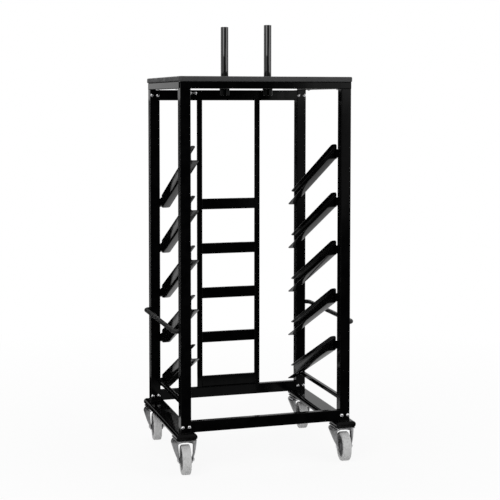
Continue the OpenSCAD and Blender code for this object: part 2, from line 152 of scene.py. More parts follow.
class ShaderGraph(NodeBench):
    """A material's node graph around one Principled shader."""

    def __init__(self, name: str) -> None:
        """Start an empty graph.

        Args:
            name: Name of the material.
        """
        self.material = bpy.data.materials.new(name)
        self.material.use_nodes = True
        super().__init__(self.material.node_tree)
        self.tree.nodes.clear()
        self.shader = self.node("ShaderNodeBsdfPrincipled")
        output = self.node("ShaderNodeOutputMaterial")
        self.link(self.shader.outputs["BSDF"], output.inputs["Surface"])
        self.coords = self.node("ShaderNodeTexCoord").outputs["Object"]

    def constants(self, **values: float) -> None:
        """Set plain numbers on the shader's own sockets, named with underscores for spaces."""
        for key, value in values.items():
            self.shader.inputs[key.replace("_", " ")].default_value = value

    def noise(self, size: float, detail: float = 2.0, stretch: Sequence[float] = (1, 1, 1)) -> bpy.types.NodeSocket:
        """Noise in object space.

        Args:
            size: Size of a blotch in metres.
            detail: Octaves of finer noise.
            stretch: Scale of the coordinates along each axis.

        Returns:
            The noise value's socket.
        """
        mapping = self.node("ShaderNodeMapping")
        mapping.inputs["Scale"].default_value = stretch
        self.link(self.coords, mapping.inputs["Vector"])
        noise = self.node("ShaderNodeTexNoise")
        noise.inputs["Scale"].default_value = 1.0 / size
        noise.inputs["Detail"].default_value = detail
        self.link(mapping.outputs["Vector"], noise.inputs["Vector"])
        return noise.outputs["Fac"]

    def cells(self, size: float) -> bpy.types.NodeSocket:
        """Random grey value per Voronoi cell.

        Args:
            size: Size of a cell in metres.

        Returns:
            The grey value's socket.
        """
        voronoi = self.node("ShaderNodeTexVoronoi")
        voronoi.inputs["Scale"].default_value = 1.0 / size
        self.link(self.coords, voronoi.inputs["Vector"])
        grey = self.node("ShaderNodeSeparateColor")
        self.link(voronoi.outputs["Color"], grey.inputs["Color"])
        return grey.outputs["Red"]

    def blend(self, share: bpy.types.NodeSocket, low: Colour | bpy.types.NodeSocket,
              high: Colour) -> bpy.types.NodeSocket:
        """Mix two colours.

        Args:
            share: Socket with the share of the second colour.
            low: First colour, or the socket of one.
            high: Second colour.

        Returns:
            The mixed colour's socket.
        """
        mix = self.node("ShaderNodeMix", data_type="RGBA")
        self.link(share, mix.inputs["Factor"])
        first, second = (s for s in mix.inputs if s.type == "RGBA")
        if isinstance(low, bpy.types.NodeSocket):
            self.link(low, first)
        else:
            first.default_value = (*low, 1.0)
        second.default_value = (*high, 1.0)
        return next(s for s in mix.outputs if s.type == "RGBA")

    def facing_up(self) -> bpy.types.NodeSocket:
        """How far a surface faces up.

        Returns:
            Socket of the share, from 0 to 1.
        """
        normal = self.node("ShaderNodeNewGeometry").outputs["Normal"]
        parts = self.node("ShaderNodeSeparateXYZ")
        self.link(normal, parts.inputs[0])
        return self.spread(parts.outputs["Z"], 0.0, 1.0, start=0.6, end=1.0)

    def bump(self, height: bpy.types.NodeSocket, depth: float, below: bpy.types.NodeSocket | None = None
             ) -> bpy.types.NodeSocket:
        """Bump a normal.

        Args:
            height: Socket with the height, from 0 to 1.
            depth: Depth of the relief in metres.
            below: Normal of a coarser bump, if any.

        Returns:
            The normal's socket.
        """
        bump = self.node("ShaderNodeBump")
        bump.inputs["Strength"].default_value = 1.0
        bump.inputs["Distance"].default_value = depth
        self.link(height, bump.inputs["Height"])
        if below is not None:
            self.link(below, bump.inputs["Normal"])
        return bump.outputs["Normal"]

    def wire(self, colour: bpy.types.NodeSocket, roughness: bpy.types.NodeSocket,
             normal: bpy.types.NodeSocket) -> bpy.types.Material:
        """Join the last sockets to the shader.

        Args:
            colour: The finished colour.
            roughness: The finished roughness.
            normal: The bumped normal.

        Returns:
            The finished material.
        """
        self.link(colour, self.shader.inputs["Base Color"])
        self.link(roughness, self.shader.inputs["Roughness"])
        self.link(normal, self.shader.inputs["Normal"])
        return self.material


# Finishes


@dataclass(frozen=True)
class Paint:
    """Stoved paint on steel: fine orange peel, faint blotches, and dust where it faces up."""

    name: str
    dark: Colour
    light: Colour
    dust_share: float
    smooth: float
    rough: float
    peel: float
    peel_depth: float
    specular: float
    dust: Colour = (0.012, 0.012, 0.012)
    dust_patch: float = 0.012
    blotch: float = 0.05
    rub: float = 0.02
    rub_stretch: Point3 = (1.0, 1.0, 0.18)

    def material(self) -> bpy.types.Material:
        """Build the shader.

        Returns:
            The material.
        """
        graph = ShaderGraph(self.name)
        graph.constants(Specular_IOR_Level=self.specular)
        body = graph.blend(graph.spread(graph.noise(self.blotch, detail=4.0), 0.0, 1.0), self.dark, self.light)
        patches = graph.spread(graph.noise(self.dust_patch, detail=5.0), 0.2, 1.0)
        settled = graph.combine("MULTIPLY", graph.facing_up(), patches)
        colour = graph.blend(graph.spread(settled, 0.0, self.dust_share, start=0.0, end=1.0), body, self.dust)
        rubbed = graph.noise(self.rub, detail=6.0, stretch=self.rub_stretch)
        roughness = graph.spread(rubbed, self.smooth, self.rough)
        peel = graph.bump(graph.noise(self.peel, detail=1.0), self.peel_depth)
        return graph.wire(colour, roughness, peel)


@dataclass(frozen=True)
class Board:
    """Dark laminate: fine speckle and a pebbled grain, with paler rubbed patches."""

    name: str
    dark: Colour
    light: Colour
    rubbed: Colour
    grain: float
    grain_depth: float
    speck: float = 0.0016
    rub: float = 0.11
    rub_share: float = 0.5
    sheen: float = 0.03
    smooth: float = 0.52
    rough: float = 0.7
    specular: float = 0.3

    def material(self) -> bpy.types.Material:
        """Build the shader.

        Returns:
            The material.
        """
        graph = ShaderGraph(self.name)
        graph.constants(Specular_IOR_Level=self.specular)
        speck = graph.spread(graph.noise(self.speck, detail=3.0), 0.0, 1.0, start=0.3, end=0.7)
        body = graph.blend(speck, self.dark, self.light)
        patches = graph.spread(graph.noise(self.rub, detail=5.0), 0.0, self.rub_share, start=0.5, end=0.75)
        colour = graph.blend(graph.combine("MULTIPLY", patches, graph.facing_up()), body, self.rubbed)
        roughness = graph.spread(graph.noise(self.sheen, detail=4.0), self.smooth, self.rough)
        pebbles = graph.bump(graph.noise(self.grain), self.grain_depth)
        return graph.wire(colour, roughness, pebbles)


@dataclass(frozen=True)
class Zinc:
    """Zinc plate: metal with a faint spangle and duller, stained patches."""

    name: str
    bright: Colour
    stained: Colour
    spangle: float
    smooth: float
    rough: float
    spangle_share: float = 0.18
    stain: float = 0.018
    sheen: float = 0.006
    grain: float = 0.0009
    grain_depth: float = 0.00002

    def material(self) -> bpy.types.Material:
        """Build the shader.

        Returns:
            The material.
        """
        graph = ShaderGraph(self.name)
        graph.constants(Metallic=1.0)
        stain = graph.spread(graph.noise(self.stain, detail=5.0), 0.0, 1.0, start=0.4, end=0.72)
        plate = graph.blend(stain, self.bright, self.stained)
        flecks = graph.spread(graph.cells(self.spangle), 0.0, self.spangle_share, start=0.0, end=1.0)
        colour = graph.blend(flecks, plate, self.stained)
        roughness = graph.spread(graph.noise(self.sheen, detail=4.0), self.smooth, self.rough)
        grain = graph.bump(graph.noise(self.grain), self.grain_depth)
        return graph.wire(colour, roughness, grain)


@dataclass(frozen=True)
class Moulding:
    """Moulded plastic or rubber: matt skin with flow marks and scuffs."""

    name: str
    body: Colour
    scuffed: Colour
    scuff: float
    smooth: float
    rough: float
    skin: float
    skin_depth: float
    specular: float
    scuff_share: float = 0.8
    sheen: float = 0.008

    def material(self) -> bpy.types.Material:
        """Build the shader.

        Returns:
            The material.
        """
        graph = ShaderGraph(self.name)
        graph.constants(Specular_IOR_Level=self.specular)
        scuff = graph.spread(graph.noise(self.scuff, detail=6.0), 0.0, self.scuff_share, start=0.48, end=0.72)
        colour = graph.blend(scuff, self.body, self.scuffed)
        roughness = graph.spread(graph.noise(self.sheen, detail=4.0), self.smooth, self.rough)
        skin = graph.bump(graph.noise(self.skin), self.skin_depth)
        return graph.wire(colour, roughness, skin)


FINISHES = {
    Slot.POWDER_COAT: Paint(
        "black_powder_coat_paint", dark=(0.0009, 0.0009, 0.001), light=(0.0019, 0.0019, 0.002), dust_share=0.25,
        smooth=0.09, rough=0.13, peel=0.0011, peel_depth=0.000006, specular=0.06),
    Slot.GLOSS_PAINT: Paint(
        "black_gloss_enamel", dark=(0.0014, 0.0014, 0.0015), light=(0.0026, 0.0026, 0.0028), dust_share=0.15,
        smooth=0.03, rough=0.08, peel=0.003, peel_depth=0.000002, specular=0.6),
    Slot.BOARD: Board(
        "dark_laminate_board", dark=(0.028, 0.028, 0.029), light=(0.052, 0.052, 0.053),
        rubbed=(0.085, 0.085, 0.086), grain=0.0012, grain_depth=0.00006),
    Slot.CAP_PLASTIC: Moulding(
        "black_cap_plastic", body=(0.0006, 0.0006, 0.0006), scuffed=(0.002, 0.002, 0.002), scuff=0.008,
        smooth=0.3, rough=0.5, skin=0.0008, skin_depth=0.00003, specular=0.1),
    Slot.BRIGHT_ZINC: Zinc(
        "bright_zinc_plate", bright=(0.62, 0.62, 0.63), stained=(0.42, 0.42, 0.42), spangle=0.0016,
        smooth=0.2, rough=0.34),
    Slot.DULL_ZINC: Zinc(
        "dull_zinc_plate", bright=(0.27, 0.27, 0.275), stained=(0.17, 0.17, 0.17), spangle=0.003,
        smooth=0.3, rough=0.48),
    Slot.HUB_PLASTIC: Moulding(
        "grey_hub_plastic", body=(0.1, 0.1, 0.103), scuffed=(0.17, 0.17, 0.17), scuff=0.012,
        smooth=0.45, rough=0.62, skin=0.0006, skin_depth=0.00003, specular=0.4),
    Slot.TREAD_RUBBER: Moulding(
        "grey_tread_rubber", body=(0.58, 0.58, 0.58), scuffed=(0.44, 0.44, 0.43), scuff=0.01,
        smooth=0.55, rough=0.75, skin=0.0007, skin_depth=0.00006, specular=0.3),
}
MATERIALS: dict[Slot, bpy.types.Material] = {slot: finish.material() for slot, finish in FINISHES.items()}
SATIN_PAINT = Paint(
    "black_satin_paint", dark=(0.0012, 0.0012, 0.0013), light=(0.0024, 0.0024, 0.0026), dust_share=0.2,
    smooth=0.42, rough=0.55, peel=0.0016, peel_depth=0.00002, specular=0.28).material()


# Mesh tools


# Points closer than this are one point
DOUBLES = 1e-6
# Edges sharper than this many degrees get rounded
ROUND_FROM = 40.0


def object_of(name: str, mesh: bpy.types.Mesh) -> bpy.types.Object:
    """Put a mesh in the scene as an object at the origin.

    Args:
        name: Name of the object.
        mesh: Its mesh.

    Returns:
        The object.
    """
    obj = bpy.data.objects.new(name, mesh)
    bpy.context.scene.collection.objects.link(obj)
    return obj


def mesh_of(name: str, points: Sequence[Sequence[float]], faces: Sequence[Sequence[int]]) -> bpy.types.Mesh:
    """Make a mesh with its doubles merged and its faces turned outwards.

    Args:
        name: Name of the mesh.
        points: Its points.
        faces: Its faces, as indices of the points.

    Returns:
        The mesh.
    """
    mesh = bpy.data.meshes.new(name)
    mesh.from_pydata([tuple(p) for p in points], [], [tuple(f) for f in faces])
    tidy(mesh)
    return mesh


def tidy(mesh: bpy.types.Mesh) -> None:
    """Merge a mesh's doubles and turn its faces outwards.

    Args:
        mesh: The mesh to change.
    """
    bm = bmesh.new()
    bm.from_mesh(mesh)
    bmesh.ops.remove_doubles(bm, verts=bm.verts, dist=DOUBLES)
    bmesh.ops.recalc_face_normals(bm, faces=bm.faces)
    bm.to_mesh(mesh)
    bm.free()


def shade(mesh: bpy.types.Mesh, angle: float = 35.0) -> None:
    """Shade a mesh smooth, with creases sharper than an angle in degrees kept."""
    mesh.shade_smooth()
    mesh.set_sharp_from_angle(angle=math.radians(angle))


def moved(mesh: bpy.types.Mesh, matrix: Matrix) -> bpy.types.Mesh:
    """Move a mesh's points and return it."""
    mesh.transform(matrix)
    return mesh


def joined(name: str, meshes: Sequence[bpy.types.Mesh]) -> bpy.types.Mesh:
    """Copy several meshes into one.

    Args:
        name: Name of the new mesh.
        meshes: The meshes to copy.

    Returns:
        The new mesh.
    """
    bm = bmesh.new()
    for mesh in meshes:
        bm.from_mesh(mesh)
    result = bpy.data.meshes.new(name)
    bm.to_mesh(result)
    bm.free()
    return result


def baked(obj: bpy.types.Object) -> bpy.types.Object:
    """Turn an object's evaluated shape into its own plain mesh and remove its modifiers.

    Args:
        obj: The object to change.

    Returns:
        The same object.
    """
    graph = bpy.context.evaluated_depsgraph_get()
    mesh = bpy.data.meshes.new_from_object(obj.evaluated_get(graph))
    obj.modifiers.clear()
    obj.data = mesh
    return obj


def bevelled(mesh: bpy.types.Mesh, width: float, segments: int = 2) -> bpy.types.Mesh:
    """Round a mesh's sharp edges.

    Args:
        mesh: The mesh to round.
        width: Width of the rounding in metres.
        segments: Steps across the rounding.

    Returns:
        The rounded mesh.
    """
    obj = object_of("rounding", mesh)
    bevel = obj.modifiers.new("edge rounding", "BEVEL")
    bevel.width = width
    bevel.segments = segments
    bevel.limit_method = "ANGLE"
    bevel.angle_limit = math.radians(ROUND_FROM)
    result = baked(obj).data
    bpy.data.objects.remove(obj)
    shade(result)
    return result


def rounded_path(corners: Sequence[Point3], steps: int = 6) -> list[Point2]:
    """Round the corners of an open line.

    Args:
        corners: Points as (x, y, radius), with radius 0 for a sharp corner.
        steps: Steps around each rounded corner.

    Returns:
        The points of the rounded line.
    """
    line: list[Point2] = []
    last = len(corners) - 1
    for i, (x, y, radius) in enumerate(corners):
        corner = Vector((x, y))
        if radius == 0 or i in (0, last):
            line.append((x, y))
            continue
        before = (Vector(corners[i - 1][:2]) - corner).normalized()
        after = (Vector(corners[i + 1][:2]) - corner).normalized()
        half = before.angle(after) / 2
        centre = corner + (before + after).normalized() * (radius / math.sin(half))
        start = corner + before * (radius / math.tan(half)) - centre
        end = corner + after * (radius / math.tan(half)) - centre
        turn = start.angle_signed(end)
        for k in range(steps + 1):
            angle = -turn * k / steps
            spun = Matrix.Rotation(angle, 2) @ start
            line.append(tuple(centre + spun))
    return line


def rounded_rectangle(low: Vector, high: Vector, corner: float, steps: int = 10) -> list[Point2]:
    """Outline of a box seen from above with round corners.

    Args:
        low: Lowest corner of the box.
        high: Highest corner of the box.
        corner: Radius of the corners.
        steps: Steps around each corner.

    Returns:
        The points of the outline.
    """
    points = []
    for sx, sy, start in ((1, 1, 0), (-1, 1, 90), (-1, -1, 180), (1, -1, 270)):
        x = (high.x if sx > 0 else low.x) - sx * corner
        y = (high.y if sy > 0 else low.y) - sy * corner
        for k in range(steps + 1):
            angle = math.radians(start + 90 * k / steps)
            points.append((x + corner * math.cos(angle), y + corner * math.sin(angle)))
    return points


def lathe(name: str, profile: Sequence[Point2], segments: int = 64) -> bpy.types.Mesh:
    """Turn a profile about the Z axis.

    Args:
        name: Name of the mesh.
        profile: Points as (radius, height), from one end of the outline to the other.
        segments: Steps around the axis.

    Returns:
        The turned mesh.
    """
    points: list[Point3] = []
    rings: list[list[int]] = []
    for radius, height in profile:
        first = len(points)
        if radius == 0:
            points.append((0.0, 0.0, height))
            rings.append([first] * segments)
            continue
        for k in range(segments):
            angle = 2 * math.pi * k / segments
            points.append((radius * math.cos(angle), radius * math.sin(angle), height))
        rings.append(list(range(first, first + segments)))
    faces = []
    for low, high in zip(rings, rings[1:]):
        for k in range(segments):
            face = [low[k], low[(k + 1) % segments], high[(k + 1) % segments], high[k]]
            unique = list(dict.fromkeys(face))
            if len(unique) > 2:
                faces.append(unique)
    return mesh_of(name, points, faces)


def grid_faces(rows: int, width: int, closed: bool = False) -> list[tuple[int, ...]]:
    """Faces of a grid of points that is stored row by row.

    Args:
        rows: Number of rows.
        width: Points in a row.
        closed: Whether each row runs around and meets its own start.

    Returns:
        The faces, as indices of the points.
    """
    faces = []
    for r in range(rows - 1):
        for k in range(width if closed else width - 1):
            a, b = r * width + k, r * width + (k + 1) % width
            faces.append((a, b, b + width, a + width))
    return faces


def drum_faces(rows: int, width: int) -> list[tuple[int, ...]]:
    """Faces of a stack of rings of points with both ends closed.

    Args:
        rows: Number of rings.
        width: Points in a ring.

    Returns:
        The faces, as indices of the points.
    """
    last = (rows - 1) * width
    return [tuple(range(width)), tuple(range(last, last + width)), *grid_faces(rows, width, closed=True)]


def thickened(name: str, points: Sequence[Point3], faces: Sequence[tuple[int, ...]],
              sheet: float) -> bpy.types.Mesh:
    """Give an open surface the thickness of a sheet, behind its outer face.

    Args:
        name: Name of the surface.
        points: Its points.
        faces: Its faces, as indices of the points.
        sheet: Thickness of the sheet.

    Returns:
        The mesh of the sheet.
    """
    surface = bpy.data.meshes.new(name)
    surface.from_pydata(points, [], faces)
    obj = object_of(name, surface)
    wall = obj.modifiers.new("sheet", "SOLIDIFY")
    wall.thickness = sheet
    wall.offset = -1
    result = baked(obj).data
    bpy.data.objects.remove(obj)
    return result


def hex_prism(name: str, flats: float, height: float, edge: float) -> bpy.types.Mesh:
    """Hexagon nut or head on the plane z = 0.

    Args:
        name: Name of the mesh.
        flats: Width across the flats.
        height: Height of the prism.
        edge: Width of the rounding on its edges.

    Returns:
        The mesh.
    """
    sides = 6
    radius = flats / 2 / math.cos(math.pi / sides)
    turns = [2 * math.pi * k / sides for k in range(sides)]
    points = [(radius * math.cos(t), radius * math.sin(t), z) for z in (0.0, height) for t in turns]
    return bevelled(mesh_of(name, points, drum_faces(2, sides)), edge)


# Geometry Nodes


class GeometryTree(NodeBench):
    """A Geometry Nodes tree with named inputs that ends in Realize Instances and Set Material."""

    def __init__(self, name: str, inputs: dict[str, str]) -> None:
        """Start a tree.

        Args:
            name: Name of the tree.
            inputs: Each input's name and the kind of its socket.
        """
        super().__init__(bpy.data.node_groups.new(name, "GeometryNodeTree"))
        face = self.tree.interface
        face.new_socket("Geometry", in_out="OUTPUT", socket_type="NodeSocketGeometry")
        for key, kind in {"Geometry": "Geometry", **inputs, "Material": "Material"}.items():
            face.new_socket(key, in_out="INPUT", socket_type=f"NodeSocket{kind}")
        self.source = self.node("NodeGroupInput")

    def given(self, name: str) -> bpy.types.NodeSocket:
        """Socket of a named input."""
        return self.source.outputs[name]

    def copies(self, points: bpy.types.NodeSocket, instance: bpy.types.NodeSocket,
               **more: bpy.types.NodeSocket) -> bpy.types.NodeSocket:
        """Set an instance on each point.

        Args:
            points: Socket with the points.
            instance: Socket with the geometry to copy.
            more: Sockets for further inputs, such as Rotation.

        Returns:
            The instances' socket.
        """
        node = self.node("GeometryNodeInstanceOnPoints")
        for key, socket in {"Points": points, "Instance": instance, **more}.items():
            self.link(socket, node.inputs[key])
        return node.outputs["Instances"]

    def finish(self, geometry: bpy.types.NodeSocket, smooth: bool = False) -> None:
        """End the tree.

        Args:
            geometry: Socket with the finished geometry.
            smooth: Whether the faces are shaded smooth.
        """
        realize = self.node("GeometryNodeRealizeInstances")
        self.link(geometry, realize.inputs["Geometry"])
        done = realize.outputs["Geometry"]
        if smooth:
            shading = self.node("GeometryNodeSetShadeSmooth")
            self.link(done, shading.inputs["Geometry"])
            done = shading.outputs["Geometry"]
        dress = self.node("GeometryNodeSetMaterial")
        self.link(done, dress.inputs["Geometry"])
        self.link(self.given("Material"), dress.inputs["Material"])
        output = self.node("NodeGroupOutput")
        self.link(dress.outputs["Geometry"], output.inputs["Geometry"])

    def run(self, name: str, mesh: bpy.types.Mesh, material: bpy.types.Material,
            **values: object) -> bpy.types.Object:
        """Run the tree on a mesh.

        Args:
            name: Name of the new piece.
            mesh: Mesh that goes in.
            material: Material that the result gets.
            values: Inputs by name, with underscores for spaces.

        Returns:
            An object with the plain result.
        """
        obj = object_of(name, mesh)
        modifier = obj.modifiers.new(self.tree.name, "NODES")
        modifier.node_group = self.tree
        asked = {key.replace("_", " "): value for key, value in values.items()}
        asked["Material"] = material
        for item in self.tree.interface.items_tree:
            if item.in_out == "INPUT" and item.name in asked:
                modifier[item.identifier] = asked[item.name]
        obj.update_tag()
        return baked(obj)


def repeat_tree() -> GeometryTree:
    """Tree that repeats the incoming mesh in a straight row.

    Returns:
        The tree.
    """
    tree = GeometryTree("repeat in a row", {"Count": "Int", "Step": "Vector"})
    row = tree.node("GeometryNodeMeshLine")
    tree.link(tree.given("Count"), row.inputs["Count"])
    tree.link(tree.given("Step"), row.inputs["Offset"])
    tree.finish(tree.copies(row.outputs["Mesh"], tree.given("Geometry")))
    return tree


def spokes_tree() -> GeometryTree:
    """Tree that repeats the incoming mesh around the Z axis.

    Returns:
        The tree.
    """
    tree = GeometryTree("repeat around the axle", {"Count": "Int"})
    row = tree.node("GeometryNodeMeshLine")
    row.inputs["Offset"].default_value = (0, 0, 0)
    tree.link(tree.given("Count"), row.inputs["Count"])
    share = tree.node("ShaderNodeMath", operation="DIVIDE")
    share.inputs[0].default_value = 2 * math.pi
    tree.link(tree.given("Count"), share.inputs[1])
    index = tree.node("GeometryNodeInputIndex").outputs[0]
    turn = tree.node("ShaderNodeCombineXYZ")
    tree.link(tree.combine("MULTIPLY", index, share.outputs[0]), turn.inputs["Z"])
    rotation = tree.node("FunctionNodeEulerToRotation")
    tree.link(turn.outputs[0], rotation.inputs[0])
    tree.finish(tree.copies(row.outputs["Mesh"], tree.given("Geometry"), Rotation=rotation.outputs[0]))
    return tree


def fastener_tree() -> GeometryTree:
    """Tree that sets a fastener on each incoming point, turned by the point's own turn.

    Returns:
        The tree.
    """
    tree = GeometryTree("fasteners on points", {"Fastener": "Object"})
    turn = tree.node("GeometryNodeInputNamedAttribute", data_type="FLOAT_VECTOR")
    turn.inputs["Name"].default_value = "turn"
    rotation = tree.node("FunctionNodeEulerToRotation")
    tree.link(turn.outputs["Attribute"], rotation.inputs[0])
    shape = tree.node("GeometryNodeObjectInfo")
    tree.link(tree.given("Fastener"), shape.inputs["Object"])
    tree.finish(tree.copies(tree.given("Geometry"), shape.outputs["Geometry"], Rotation=rotation.outputs[0]))
    return tree


def tube_tree() -> GeometryTree:
    """Tree that draws a round tube along the incoming edges, with its corners bent to a radius.

    Returns:
        The tree.
    """
    bend_steps, ring_steps = 14, 40
    tree = GeometryTree("bent tube", {"Tube Radius": "Float", "Bend Radius": "Float"})
    path = tree.node("GeometryNodeMeshToCurve")
    tree.link(tree.given("Geometry"), path.inputs["Mesh"])
    bend = tree.node("GeometryNodeFilletCurve", mode="POLY")
    bend.inputs["Count"].default_value = bend_steps
    tree.link(path.outputs["Curve"], bend.inputs["Curve"])
    tree.link(tree.given("Bend Radius"), bend.inputs["Radius"])
    ring = tree.node("GeometryNodeCurvePrimitiveCircle")
    ring.inputs["Resolution"].default_value = ring_steps
    tree.link(tree.given("Tube Radius"), ring.inputs["Radius"])
    skin = tree.node("GeometryNodeCurveToMesh")
    skin.inputs["Fill Caps"].default_value = True
    tree.link(bend.outputs["Curve"], skin.inputs["Curve"])
    tree.link(ring.outputs["Curve"], skin.inputs["Profile Curve"])
    tree.finish(skin.outputs["Mesh"])
    return tree


def weld_tree() -> GeometryTree:
    """Tree that lays a rippled weld bead along the incoming edges.

    Returns:
        The tree.
    """
    segments, rings, seed = 10, 6, 7
    smallest, largest = 0.85, 1.1
    tree = GeometryTree("weld beads", {"Bead Radius": "Float", "Ripple": "Float"})
    path = tree.node("GeometryNodeMeshToCurve")
    tree.link(tree.given("Geometry"), path.inputs["Mesh"])
    steps = tree.node("GeometryNodeResampleCurve", mode="LENGTH")
    tree.link(path.outputs["Curve"], steps.inputs["Curve"])
    tree.link(tree.given("Ripple"), steps.inputs["Length"])
    align = tree.node("FunctionNodeAlignRotationToVector", axis="Z")
    tree.link(tree.node("GeometryNodeInputTangent").outputs[0], align.inputs["Vector"])
    drop = tree.node("GeometryNodeMeshUVSphere")
    drop.inputs["Segments"].default_value = segments
    drop.inputs["Rings"].default_value = rings
    tree.link(tree.given("Bead Radius"), drop.inputs["Radius"])
    size = tree.node("FunctionNodeRandomValue", data_type="FLOAT")
    for key, value in (("Min", smallest), ("Max", largest)):
        next(s for s in size.inputs if s.name == key and s.type == "VALUE").default_value = value
    size.inputs["Seed"].default_value = seed
    scale = next(s for s in size.outputs if s.type == "VALUE")
    beads = tree.copies(steps.outputs["Curve"], drop.outputs["Mesh"], Rotation=align.outputs[0], Scale=scale)
    tree.finish(beads, smooth=True)
    return tree


REPEAT = repeat_tree()
SPOKES = spokes_tree()
FASTENERS = fastener_tree()
TUBE = tube_tree()
WELDS = weld_tree()


def set_fasteners(name: str, shape: bpy.types.Mesh, slot: Slot,
                  seats: Sequence[Seat]) -> bpy.types.Object:
    """Set copies of a fastener on their seats.

    Args:
        name: Name of the piece.
        shape: Fastener with its seat on z = 0 and its head towards +Z.
        slot: Finish of the fasteners.
        seats: Each seat's place and its turn as Euler angles.

    Returns:
        The piece with all the copies.
    """
    points = bpy.data.meshes.new(name)
    points.from_pydata([tuple(place) for place, _ in seats], [], [])
    turns = points.attributes.new("turn", "FLOAT_VECTOR", "POINT")
    for item, (_, turn) in zip(turns.data, seats):
        item.vector = turn
    pattern = object_of(name + "_pattern", shape)
    piece = FASTENERS.run(name, points, MATERIALS[slot], Fastener=pattern)
    bpy.data.objects.remove(pattern)
    return piece


def dress(obj: bpy.types.Object, slot: Slot, body: str, *nodes: str,
          finish: bpy.types.Material | None = None) -> None:
    """Give a piece its finish, let it ride on a body and stand for CAD nodes.

    Args:
        obj: The finished piece.
        slot: Finish and material slot.
        body: CAD body that carries the piece.
        nodes: CAD nodes that the piece stands for.
        finish: Material to show instead of the slot's own.
    """
    obj.data.materials.clear()
    obj.data.materials.append(finish or MATERIALS[slot])
    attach(obj, body)
    if nodes:
        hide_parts(*nodes)
    LOG.info("%s on %s: %d faces, %s", obj.name, body, len(obj.data.polygons), slot.value)


def face_side(turn: float = 0.0) -> Point3:
    """Euler turn of a fastener whose head looks along -Y, spun about its own axis."""
    return (math.pi / 2, turn, 0.0)


# Sub-assemblies


@dataclass
class Lid:
    """Board on the top frame, with rounded edges and two holes for the pins."""

    corner: float = 0.014
    edge: float = 0.005
    edge_steps: int = 4
    hole: float = 0.0161
    hole_steps: int = 48
    drill_past: float = 0.01

    def build(self) -> None:
        """Make the board and dress it."""
        low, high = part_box("lid_board")
        curve = bpy.data.curves.new("lid_outline", "CURVE")
        curve.dimensions = "2D"
        curve.fill_mode = "BOTH"
        curve.extrude = (high.z - low.z) / 2 - self.edge
        curve.bevel_depth = self.edge
        curve.bevel_resolution = self.edge_steps
        curve.offset = -self.edge
        outline = curve.splines.new("POLY")
        points = rounded_rectangle(low, high, self.corner)
        outline.points.add(len(points) - 1)
        for item, (x, y) in zip(outline.points, points):
            item.co = (x, y, 0, 1)
        outline.use_cyclic_u = True
        flat = bpy.data.objects.new("lid_outline", curve)
        bpy.context.scene.collection.objects.link(flat)
        graph = bpy.context.evaluated_depsgraph_get()
        mesh = bpy.data.meshes.new_from_object(flat.evaluated_get(graph))
        bpy.data.objects.remove(flat)
        moved(mesh, Matrix.Translation((0, 0, (low.z + high.z) / 2)))
        tidy(mesh)
        board = object_of("lid", mesh)
        cutters = [self.drill(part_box(f"pin_{side.word}"), low.z, high.z) for side in Side]
        for cutter in cutters:
            cut = board.modifiers.new("pin hole", "BOOLEAN")
            cut.operation = "DIFFERENCE"
            cut.object = cutter
            cut.solver = "EXACT"
        baked(board)
        for cutter in cutters:
            bpy.data.objects.remove(cutter)
        shade(board.data, angle=30)
        dress(board, Slot.BOARD, "frame", "lid_board")

    def drill(self, pin: tuple[Vector, Vector], low: float, high: float) -> bpy.types.Object:
        """Cutter for a pin's hole through the board.

        Args:
            pin: Lowest and highest corner of the pin's box.
            low: Underside of the board.
            high: Upper side of the board.

        Returns:
            The cutter.
        """
        x, y = ((a + b) / 2 for a, b in zip(pin[0].xy, pin[1].xy))
        start, end = low - self.drill_past, high + self.drill_past
        profile = [(0, start), (self.hole, start), (self.hole, end), (0, end)]
        mesh = lathe("pin_drill", profile, self.hole_steps)
        return object_of("pin_drill", moved(mesh, Matrix.Translation((x, y, 0))))


@dataclass
class Pin:
    """Round pin that stands on the lid and can be lifted out of its socket."""

    side: Side
    radius: float = 0.017
    foot_radius: float = 0.0155
    edge: float = 0.0016
    seat_edge: float = 0.0004
    steps: int = 72

    def build(self) -> None:
        """Make the pin and dress it."""
        name = f"pin_{self.side.word}"
        low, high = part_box(name)
        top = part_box("lid_board")[1].z
        profile = rounded_path([
            (0, low.z, 0), (self.foot_radius, low.z, self.edge), (self.foot_radius, top, 0),
            (self.radius, top, self.seat_edge), (self.radius, high.z, self.edge), (0, high.z, 0)])
        mesh = lathe(name, profile, self.steps)
        moved(mesh, Matrix.Translation(((low.x + high.x) / 2, (low.y + high.y) / 2, 0)))
        shade(mesh, angle=40)
        dress(object_of(f"lift_{name}", mesh), Slot.GLOSS_PAINT, f"lift_{name}", name)


